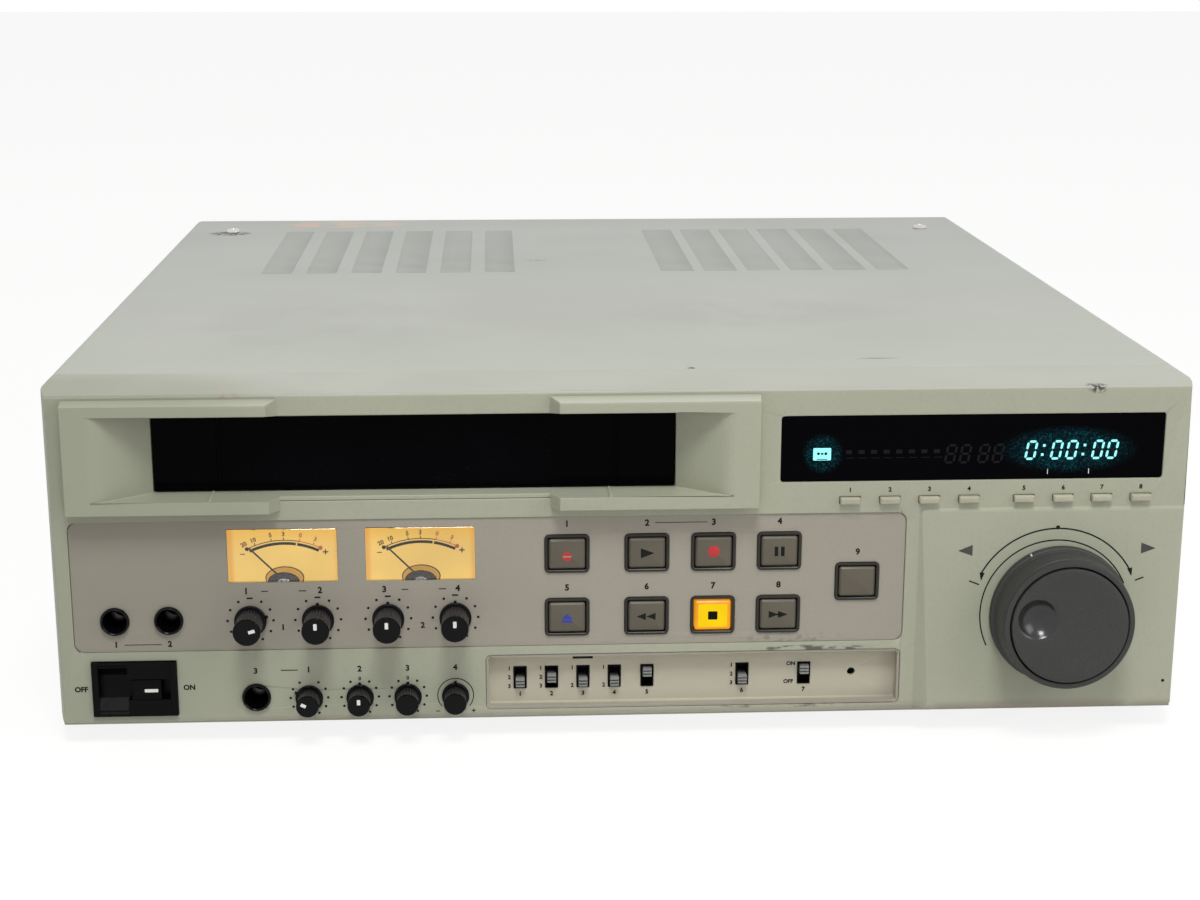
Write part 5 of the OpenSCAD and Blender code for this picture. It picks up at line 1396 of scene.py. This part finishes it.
@dataclass
class Display:
    """Dark window with lit digits and a cassette sign, the meters' lenses and the eight keys below."""

    lo: Point = (56.3, 89.3)
    hi: Point = (197.0, 114.0)
    face: float = -0.4
    back: float = -2.0
    digit_z: float = 100.25
    digit_half: Point = (1.58, 3.22)
    digits: tuple[float, ...] = (148.0, 157.4, 163.0, 172.6, 177.9)
    colons: tuple[float, ...] = (152.4, 167.4)
    unlit: tuple[float, ...] = (118.5, 123.8, 130.6, 135.9)
    unlit_z: float = 99.2
    slant: float = 0.17
    sign_at: Point = (71.35, 99.6)
    key_x: tuple[float, ...] = (82.0, 96.6, 111.1, 125.7, 146.0, 160.5, 174.8, 189.3)
    key_z: float = 82.2
    key_half: Point = (3.65, 1.25)

    def segments(self, shown: str) -> list[Shell]:
        """Bars of one seven-segment digit as slanted slabs with pointed ends.

        Args:
            shown: Letters a to g of the lit segments.

        Returns:
            One shell a segment.
        """
        w, h = self.digit_half
        t, gap = 0.42, 0.28
        spans = {"a": ((-w, h), (w, h)), "b": ((w, 0), (w, h)), "c": ((w, -h), (w, 0)),
                 "d": ((-w, -h), (w, -h)), "e": ((-w, -h), (-w, 0)), "f": ((-w, 0), (-w, h)),
                 "g": ((-w, 0), (w, 0))}
        made = []
        for name in shown:
            p, q = (np.array(end, dtype=float) for end in spans[name])
            along = (q - p) / np.linalg.norm(q - p)
            side = np.array([-along[1], along[0]])
            p, q = p + along * gap, q - along * gap
            less, more = (along - side) * t, (along + side) * t
            outline = np.array([p, p + less, q - more, q, q - less, p + more])
            outline[:, 0] += outline[:, 1] * self.slant
            made.append(slab(outline, self.face - ROOT, self.face + PRINT))
        return made

    def window(self) -> Piece:
        """Window, lit signs, unlit segments and ticks."""
        u, v = ((self.lo[i] + self.hi[i]) / 2 for i in (0, 1))
        half = ((self.hi[0] - self.lo[0]) / 2 - 0.15, (self.hi[1] - self.lo[1]) / 2 - 0.15)
        piece = Piece("display_window")
        edges = [(0.1, self.back), (0, self.back + 0.1), (0, self.face - 0.15), (0.15, self.face)]
        piece.add(pad(half, 0.85, edges).shifted(u, v))
        for x in self.digits:
            lit = [(shell, 1) for shell in self.segments("abcdef")]
            piece.add_all(lit + [(shell, 2) for shell in self.segments("g")], at=(x, self.digit_z))
        low, high = self.face - ROOT, self.face + PRINT
        point = pad((0.48, 0.48), 0.15, [(0, low), (0, high)])
        for x in self.colons:
            for z in (-1.7, 1.7):
                piece.add(point.shifted(x + z * self.slant, self.digit_z + z), 1)
        for x in self.unlit:
            piece.add_all([(shell, 2) for shell in self.segments("abcdefg")], at=(x, self.unlit_z))
        under, over = high - 0.02, high + 0.02
        sign = [(pad((3.25, 2.3), 0.35, [(0, low), (0, high)]), 1)]
        sign += [(dot(0.55, under, over, 16).shifted(dx, 0.2), 3) for dx in (-1.35, 1.35)]
        sign += [(box((-0.5, -0.15, under), (0.5, 0.5, over)), 3),
                 (box((-1.9, -2.05, under), (1.9, -1.75, over)), 3)]
        piece.add_all(sign, at=self.sign_at)
        for x in (154.4, 169.6):
            piece.add(box((x - 0.12, 91.2, low), (x + 0.12, 93.1, high)), 4)
        for x in np.arange(80.0, 114.0, 4.6):
            piece.add(box((x, 97.9, low), (x + 3.2, 98.15, high)), 2)
            piece.add(box((x, 99.6, low), (x + 2.2, 101.0, high)), 2)
        return piece

    def build(self) -> None:
        """Window and lenses as one piece, then the keys."""
        piece = self.window()
        lens = pad((19.68, 9.98), 0.5, [(0.15, -1.95), (0, -1.8), (0, -0.5), (0.2, -0.32)])
        for x, z in Meters().centres:
            piece.add(lens.shifted(x, z), 5)
        piece.make([DARK_ACRYLIC, DISPLAY_GLOW, FAINT_SEGMENT, SHADE_BLACK, PRINT_WHITE, CLEAR_LENS],
                   stands_for=("clear_windows",), slot="dark_acrylic")
        for i, x in enumerate(self.key_x):
            node = f"display_key_{i + 1}"
            key = Piece(node + "_cap", FRONT.moved(x, self.key_z))
            key.add(pad(self.key_half, 0.35, [(0, -3.4), (0, 1.55), (0.12, 1.8), (0.35, 1.95), (0.5, 2.0)]))
            key.add(pad((self.key_half[0] + 0.95, self.key_half[1] + 0.95), 0.3, [(0, -4.2), (0, -3.35)]))
            key.add(turned([(1.2, -10.8), (1.2, -4.1)], 16))
            key.make([KEY_PLASTIC], node, (node,), "key_plastic")


# Dial


@dataclass
class Dial:
    """Sprung shuttle ring round the free jog dial, on the leaning face of the shuttle block."""

    centre: Point = (160.7, 38.4)
    lean: float = 2.4
    block_top: float = 77.1
    ring: float = 26.0
    jog: float = 21.4
    out: float = 17.2
    dimple: float = 7.5
    dimple_at: Point = (-11.9, 2.8)
    ball: float = 5.0

    def seat(self) -> Seat:
        """The leaning face below the dial's centre."""
        a = math.radians(self.lean)
        y = -0.6 - (self.block_top - self.centre[1]) * math.tan(a)
        up, out = (0, math.sin(a), math.cos(a)), (0, -math.cos(a), math.sin(a))
        return Seat((self.centre[0], y, self.centre[1]), up=up, out=out)

    def shuttle(self) -> None:
        """Ring: a profile with a foot, a step, a narrowing wall and a rounded rim, turned once round."""
        r, top = self.ring, self.out - 0.8
        bore = self.jog + 0.5
        profile = [(bore, 8.4), (bore, top - 0.35), (bore + 0.3, top), (r - 2.5, top), (r - 2.1, top - 0.15),
                   (r - 1.9, top - 0.6), (r - 1.75, top - 2.4), (r - 1.55, top - 2.6),
                   (r - 1.35, 4.6), (r - 0.95, 4.0), (r - 0.8, 3.4), (r - 0.25, 3.1), (r, 2.6), (r, 0.7),
                   (r - 0.3, 0.4), (5.2, 0.4), (5.0, -9.4), (3.1, -9.4), (3.1, 8.4)]
        piece = Piece("shuttle_ring_turned", self.seat()).add(turned(profile, 144, wrapped=True))
        # Painted glint: a small white spot on the ring's side, 27 degrees left of the top, drawn in white
        # print.
        mark = pad((0.3, 0.9), 0.25, [(0, 0), (0, 0.25)])
        place = self.seat().turned(-27).moved(0, r - 0.35, 2.95)
        piece.add(mark, 1, place)
        piece.make([DIAL_PLASTIC, PRINT_WHITE], "shuttle_ring", ("shuttle_ring",), "dial_plastic", crisp=28)

    def jog_disc(self) -> None:
        """Jog dial: rings that go round its wall, over its face and down into the finger dimple.

        On the face a ring at share t has radius (1 - t) rim + t dimple and centre t times the dimple's, so
        the rings close in on the dimple without crossing. In the dimple w follows a ball above the face.
        """
        base, top, rim = 8.8, self.out, self.jog
        wall = ((0.4, base), (0.0, base + 0.3), (0.0, top - 0.35), (0.1, top - 0.12), (0.35, top))
        rings = [(0.0, rim - inset, w) for inset, w in wall]
        inner = self.dimple + 0.35
        for t in np.linspace(0, 1, 10)[1:]:
            rings.append((t, (1 - t) * (rim - 0.35) + t * inner, top))
        flat_rows = len(rings) - 1
        ball = math.hypot(self.dimple, self.ball)
        rings.append((1.0, self.dimple + 0.1, top - 0.1))
        for share in (0.96, 0.88, 0.78, 0.64, 0.48, 0.32, 0.16, 0.0):
            radius = self.dimple * share
            rings.append((1.0, radius, top + self.ball - math.sqrt(ball ** 2 - radius ** 2)))
        a = np.linspace(0, 2 * math.pi, 144, endpoint=False)
        around = np.column_stack([np.cos(a), np.sin(a)])
        rows = [raised(t * np.array(self.dimple_at) + r * around, w) for t, r, w in rings]
        disc = loft(np.array(rows))
        flat = flat_rows * len(a)
        looks = [0] * flat + [1] * (len(disc.quads) - flat) + [0] * (len(disc.caps) - 1) + [1]
        piece = Piece("jog_disc", self.seat()).add(disc, looks)
        piece.add(turned([(3.0, -12.2), (3.0, base + 0.2)], 32))
        piece.make([DIAL_PLASTIC, DIMPLE_GLOSS_AND_SHADE], "jog_dial", ("jog_dial",), "dial_plastic", crisp=28)

    def prints(self) -> None:
        """Printed arcs, arrowheads and triangles round the dial."""
        low, high = -0.08, PRINT
        piece = Piece("dial_prints", self.seat().moved(-1.5, 0.2))
        piece.add(arc(27.8, 0.5, -116, 67, low, high, 90))
        piece.add(arc(31.6, 0.56, -62, 60, low, high, 80).shifted(0, 0.6))
        tip = slab([(-0.95, 1.5), (0.95, 1.5), (0.12, -1.4), (-0.12, -1.4)], low, high)
        for x, z, lean in ((-27.7, 14.3, 6.0), (27.9, 15.3, -14.0)):
            piece.add(tip.spun(lean).shifted(x, z))
        piece.add(stroke((-32.3, 12.7), (-28.5, 11.2), 0.5, low, high))
        piece.add(stroke((29.7, 12.0), (32.9, 13.2), 0.5, low, high))
        for side in (-1, 1):
            piece.add(slab([(side * 36.8, 24.2), (side * 31.4, 26.4), (side * 31.4, 22.2)], low, high), 1)
        piece.add(dot(0.75, low, high + 0.01, 20).shifted(0, 32.6))
        piece.add(dot(0.6, low, high, 16).shifted(42.4, -27.0))
        piece.make([PRINT_DARK, PRINT_GREY], slot="print_dark")

    def build(self) -> None:
        """Ring, jog dial and the prints round them."""
        self.shuttle()
        self.jog_disc()
        self.prints()


# Prints


@dataclass
class Prints:
    """Marks printed on the panel, the plate and the tray: plain numbers, ON and OFF, dots and lines."""

    plate: float = -0.5
    tray: float = -5.0
    throws: tuple[tuple[float, ...], ...] = (
        (17.5, 14.0, 10.5), (17.5, 14.0, 10.5), (17.5, 10.5), (17.5, 10.5), (), (17.5, 14.0, 10.5), ())

    def dots(self, piece: Piece, at: Point, radius: float, level: float, top: bool = True) -> None:
        """Scale dots round a knob, from lower left over the top to lower right."""
        low, high = level - ROOT, level + PRINT
        for angle in np.linspace(-150, 150, 11):
            if abs(angle) > 1:
                piece.add(dot(0.5, low, high, 16).shifted(0, radius).spun(angle).shifted(*at))
        if top:
            piece.add(box((-1.1, radius - 0.05, low), (1.1, radius + 0.55, high)).shifted(*at))

    def labels(self) -> list[tuple[str, float, Point, float]]:
        """Text, size, place and level of every number and word."""
        made = [(str(i + 1), 3.2, (spec.at[0], spec.at[1] + 11.2), self.plate)
                for i, spec in enumerate(BUTTONS)]
        made += [(text, 3.0, at, self.plate) for text, at in (("1", (-124.9, 36.6)), ("2", (-74.1, 36.6)),
                                                              ("1", (-185.5, 30.8)), ("2", (-166.1, 30.8)))]
        for i, (level, trim) in enumerate(zip(LEVEL_KNOBS, TRIM_KNOBS)):
            made.append((str(i + 1), 3.2, (level.at[0] + (-1.2, 1.0)[i % 2], 50.6), self.plate))
            made.append((str(i + 1), 3.0, (trim.at[0], 20.2), 0.0))
        made += [("0", 1.9, (spec.at[0], 16.4), 0.0) for spec in TRIM_KNOBS[1:3]]
        made += [("3", 3.0, (-135.5, 20.0), 0.0), ("OFF", 2.7, (-199.0, 13.85), 0.0),
                 ("ON", 2.7, (-159.8, 14.05), 0.0), ("ON", 2.1, (62.6, 17.7), self.tray),
                 ("OFF", 2.1, (61.8, 10.6), self.tray)]
        for i, (x, heights) in enumerate(zip(SlideSwitches().places, self.throws)):
            made += [(str(k + 1), 2.1, (x - 4.0, z), self.tray) for k, z in enumerate(heights)]
            made.append((str(i + 1), 2.3, (x, 7.4), self.tray))
        return made + [(str(i + 1), 2.3, (x, 86.1), 0.0) for i, x in enumerate(Display().key_x)]

    def bars(self) -> list[tuple[Point, Point, float]]:
        """Two corners and the level of every printed bar."""
        made = [((11.0, 74.5), (30.0, 74.75), self.plate), ((-182.5, 30.6), (-169.1, 30.85), self.plate),
                ((-126.3, 20.0), (-120.2, 20.35), 0.0), ((-19.0, 21.0), (-11.5, 23.2), self.tray)]
        made += [((x + near, 50.35), (x + far, 50.7), self.plate)
                 for x in (-124.9, -74.1) for near, far in ((-7.4, -5.0), (6.1, 8.8))]
        x, z = TRIM_KNOBS[3].at
        made += [((middle - 0.7, z - 6.3), (middle + 0.7, z - 5.95), 0.0) for middle in (x - 6.6, x + 6.6)]
        return made + [((x + 6.43, z - 6.83), (x + 6.78, z - 5.43), 0.0)]

    def build(self) -> None:
        """Everything printed in dark ink on the front."""
        piece = Piece("panel_prints")
        for text, size, at, level in self.labels():
            piece.add(lettering(text, size, level - 0.06, level + PRINT).shifted(*at))
        for lo, hi, level in self.bars():
            piece.add(box((*lo, level - ROOT), (*hi, level + PRINT)))
        for spec in LEVEL_KNOBS:
            self.dots(piece, spec.at, 8.3, self.plate)
        for spec in TRIM_KNOBS[:3]:
            self.dots(piece, spec.at, 6.85, 0.0, top=False)
        piece.add(arc(6.6, 0.36, -130, 130, -ROOT, PRINT, 48).shifted(*TRIM_KNOBS[3].at))
        piece.make([PRINT_DARK], slot="print_dark")


# Rear


@dataclass
class RearConnectors:
    """Coaxial, phono, remote and mains connectors on the zinc rear panel."""

    coax_x: tuple[float, ...] = (-180.0, -158.0, -136.0, -114.0)
    phono_x: tuple[float, ...] = (-78.0, -60.0, -42.0, -24.0)
    rows: tuple[float, float] = (88.0, 60.0)
    remote_x: tuple[float, float] = (16.0, 52.0)
    remote_z: float = 74.0
    inlet: Point = (158.0, 40.0)
    panel_out: float = -1.0

    def coax(self) -> Parts:
        """Coaxial socket: barrel, insulator and centre contact."""
        f = self.panel_out
        barrel = turned([(3.9, -2.5), (3.9, 8.6), (4.15, 9.0), (4.7, 9.0), (4.85, 8.8), (4.85, f + 2.3),
                         (6.5, f + 2.3), (6.65, f + 2.1), (6.65, f + 0.1), (4.85, f + 0.1), (4.85, -10.5),
                         (3.9, -10.5)], 40, True)
        insulator = turned([(3.9, -8.0), (3.9, 2.2), (2.0, 2.4), (2.0, 6.4), (0, 6.4)], 32)
        contact = turned([(0.9, 6.3), (0.9, 6.6), (0.5, 6.6)], 16)
        return [(barrel, 0), (insulator, 1), (contact, 2)]

    def phono(self, collar_look: int) -> Parts:
        """Phono socket: plated sleeve in a coloured collar."""
        f = self.panel_out
        sleeve = turned([(3.2, -2.0), (3.2, 6.6), (3.4, 7.0), (3.9, 7.0), (4.1, 6.8), (4.1, -10.0),
                         (3.2, -10.0)], 40, True)
        collar = turned([(4.1, f + 0.1), (4.1, f + 2.6), (5.4, f + 2.6), (5.85, f + 2.1), (5.85, f + 0.1)],
                        40, True)
        insulator = turned([(3.2, -8.0), (3.2, 4.6), (1.0, 4.8), (0.9, 4.2), (0, 4.2)], 32)
        return [(sleeve, 0), (collar, collar_look), (insulator, 1)]

    def remote(self) -> Parts:
        """Round remote socket: sleeve, insulator, body and eight pins on a part of a circle."""
        ring = turned([(7.8, -6.0), (7.8, 1.6), (8.0, 2.0), (8.8, 2.0), (9.0, 1.8), (9.0, -8.0),
                       (7.8, -8.0)], 48, True)
        pin = turned([(0.5, -4.2), (0.5, -0.6), (0.3, -0.4)], 12).shifted(0, 4.8)
        return [(ring, 0), (turned([(8.0, -9.0), (8.0, -4.0), (0, -4.0)], 40), 1),
                (pad((12, 12), 1.0, [(0, -14.5), (0, -2.6)]), 1),
                *((pin.spun(angle), 2) for angle in np.linspace(-120, 120, 8))]

    def mains(self) -> Parts:
        """Mains inlet: shroud, flange, floor and three pins."""
        shroud = pad((14, 10), 2.0, [(0, -22.0), (0, 1.2), (0.3, 1.5), (1.7, 1.5), (2.0, 1.2), (2.0, -16.0),
                                     (2.0, -22.0)], True)
        flange = pad((17, 13), 2.4, [(0, -0.9), (0, 1.2), (0.3, 1.5), (3.0, 1.5), (3.0, -0.9)], True)
        pin = pad((2.0, 1.0), 0.4, [(0, -16.5), (0, -4.4), (0.5, -4.0)])
        return [(shroud, 1), (flange, 1), (pad((13, 9), 1.0, [(0, -22.5), (0, -16.0)]), 1),
                *((pin.shifted(x, 0), 0) for x in (-7, 0, 7))]

    def build(self) -> None:
        """All connectors as one piece, and the panel that holds them."""
        piece = Piece("rear_connectors", REAR)
        for x in self.coax_x:
            for z in self.rows:
                piece.add_all(self.coax(), at=(-x, z))
                piece.add(pad((6.5, 6.5), 0.4, [(0, -18.5), (0, -2.6)]).shifted(-x, z), 1)
                for side in (-1, 1):
                    stud = sideways(side, (x + side * 4.6, CASE_DEPTH + 5.2, z))
                    piece.add(turned([(0.9, 0.0), (0.9, 1.0), (0.6, 1.3)], 16), 0, stud)
        for x in self.phono_x:
            for collar_look, z in zip((3, 4), self.rows):
                piece.add_all(self.phono(collar_look), at=(-x, z))
                piece.add(pad((6.0, 6.0), 0.4, [(0, -18.5), (0, -2.6)]).shifted(-x, z), 1)
        for x in self.remote_x:
            piece.add_all(self.remote(), at=(-x, self.remote_z))
        piece.add_all(self.mains(), at=(-self.inlet[0], self.inlet[1]))
        looks = [CHROME, BLACK_PLASTIC, GOLD, SOCKET_WHITE, SOCKET_RED]
        piece.make(looks, stands_for=("rear_terminals",), slot="nickel")
        finish_node("rear_panel", ZINC)


@dataclass
class Workings:
    """What shows through the mouth and the vents: it keeps its construction mesh."""

    finishes: dict[str, Finish] = field(default_factory=lambda: {
        "transport_deck": ALUMINIUM, "lift_carriage": ZINC, "cassette_holder": ZINC, "circuit_boards": BOARD,
        "power_supply": ZINC, "head_drum": STEEL, "capstan": STEEL, "supply_reel": BLACK_PLASTIC,
        "takeup_reel": BLACK_PLASTIC})

    def build(self) -> None:
        """Dresses each node in its finish."""
        for node, finish in self.finishes.items():
            finish_node(node, finish)


# Studio


@dataclass
class Studio:
    """Camera, soft lights, plain floor and pale background."""

    eye: Triple = (-46.861, -717.342, 287.117)
    yaw: float = 0.0524
    pitch: float = 0.2519
    roll: float = 0.0017
    focal_pixels: float = 2062.08
    width_pixels: float = 1200.0
    sensor: float = 36.0
    clip: Point = (0.05, 50.0)
    aim: Triple = (0.0, -0.05, 0.06)
    ambient: float = 0.4
    floor_half: float = 6.0
    floor_colour: Rgb = (226.0, 225.0, 222.0)
    floor_shine: float = 1.08
    floor_share: float = 0.8
    lamps: tuple[tuple[str, Triple, float, float], ...] = (
        ("key", (0.0, -1.15, 1.9), 0.6, 26.0), ("fill", (1.35, -1.0, 0.9), 0.9, 7.0))

    def camera(self) -> None:
        """Camera from yaw, downward pitch and roll.

        forward = (sin yaw cos pitch, cos yaw cos pitch, -sin pitch), right = (cos yaw, -sin yaw, 0) and
        up = right x forward; roll then turns right and up about forward.
        """
        flat = math.cos(self.pitch)
        forward = Vector((math.sin(self.yaw) * flat, math.cos(self.yaw) * flat, -math.sin(self.pitch)))
        right = Vector((math.cos(self.yaw), -math.sin(self.yaw), 0.0))
        up = right.cross(forward)
        level, tilt = right * math.cos(self.roll), up * math.cos(self.roll)
        right, up = level + up * math.sin(self.roll), tilt - right * math.sin(self.roll)
        data = bpy.data.cameras.new("camera")
        data.sensor_width = self.sensor
        data.lens = self.focal_pixels / self.width_pixels * self.sensor
        data.clip_start, data.clip_end = self.clip
        camera = bpy.data.objects.new("camera", data)
        turn = Matrix((right, up, -forward)).transposed().to_4x4()
        place = FRONT.world(np.array([[self.eye[0], self.eye[2], -self.eye[1]]]))[0]
        camera.matrix_world = Matrix.Translation(Vector(place)) @ turn
        bpy.context.scene.collection.objects.link(camera)
        bpy.context.scene.camera = camera

    def lamp(self, name: str, at: Triple, size: float, power: float) -> None:
        """Square soft light aimed at the middle of the recorder.

        Args:
            name: The lamp's name.
            at: Its place in metres.
            size: Its side in metres.
            power: Its power in watts.
        """
        data = bpy.data.lights.new(name, "AREA")
        data.size, data.energy = size, power
        lamp = bpy.data.objects.new(name, data)
        lamp.location = at
        aim = Vector(self.aim) - Vector(at)
        lamp.rotation_euler = aim.to_track_quat("-Z", "Y").to_euler()
        bpy.context.scene.collection.objects.link(lamp)

    def seen(self, tree: bpy.types.NodeTree) -> Socket:
        """Value 1 for rays from the camera, from gloss and through glass."""
        rays = tree.nodes.new("ShaderNodeLightPath")
        total = rays.outputs["Is Camera Ray"]
        for name in ("Is Glossy Ray", "Is Transmission Ray"):
            step = tree.nodes.new("ShaderNodeMath")
            step.operation = "MAXIMUM"
            tree.links.new(total, step.inputs[0])
            tree.links.new(rays.outputs[name], step.inputs[1])
            total = step.outputs[0]
        return total

    def world(self) -> None:
        """White world for what is seen, dimmer for what it lights."""
        world = bpy.data.worlds.new("studio")
        bpy.context.scene.world = world
        world.use_nodes = True
        tree = world.node_tree
        ground = tree.nodes["Background"]
        ground.inputs["Color"].default_value = WHITE
        level = tree.nodes.new("ShaderNodeMapRange")
        tree.links.new(self.seen(tree), level.inputs[0])
        level.inputs[3].default_value, level.inputs[4].default_value = self.ambient, 1.0
        tree.links.new(level.outputs[0], ground.inputs["Strength"])

    def floor(self) -> None:
        """Plain pale floor: mostly its own white for what is seen, so that a soft shadow is left."""
        mesh = bpy.data.meshes.new("floor")
        h = self.floor_half
        mesh.from_pydata([(-h, -h, 0), (h, -h, 0), (h, h, 0), (-h, h, 0)], [], [(0, 1, 2, 3)])
        plane = bpy.data.objects.new("floor", mesh)
        bpy.context.scene.collection.objects.link(plane)
        graph = Graph("floor_white")
        graph.shade({"Base Color": linear(self.floor_colour), "Roughness": 0.9})
        shine = graph.add("ShaderNodeEmission", {"Color": WHITE, "Strength": self.floor_shine}, {})
        share = graph.math("MULTIPLY", self.seen(graph.tree), self.floor_share)
        values = {0: share, 1: graph.shader.outputs[0], 2: shine.outputs[0]}
        both = graph.add("ShaderNodeMixShader", values, {})
        graph.feed(graph.tree.nodes["Material Output"].inputs["Surface"], both.outputs[0])
        mesh.materials.append(graph.material)

    def build(self) -> None:
        """Everything that isn't the recorder."""
        self.camera()
        self.world()
        self.floor()
        for name, at, size, power in self.lamps:
            self.lamp(name, at, size, power)
        bpy.context.scene.view_settings.view_transform = "Standard"


def main() -> None:
    """Builds the studio, then the recorder's sub-assemblies in order."""
    logging.basicConfig(level=logging.INFO, format="%(name)s %(message)s")
    buttons = PushButtons()
    Studio().build()
    Case().build()
    CassetteMouth().build()
    edged_copy("control_plates", PLATE_PLASTIC, 0.2)
    buttons.build()
    SlideSwitches().build(buttons)
    Knobs().build()
    Jacks().build()
    Meters().build()
    Display().build()
    Dial().build()
    Prints().build()
    RearConnectors().build()
    Workings().build()


if __name__ == "__main__":
    main()
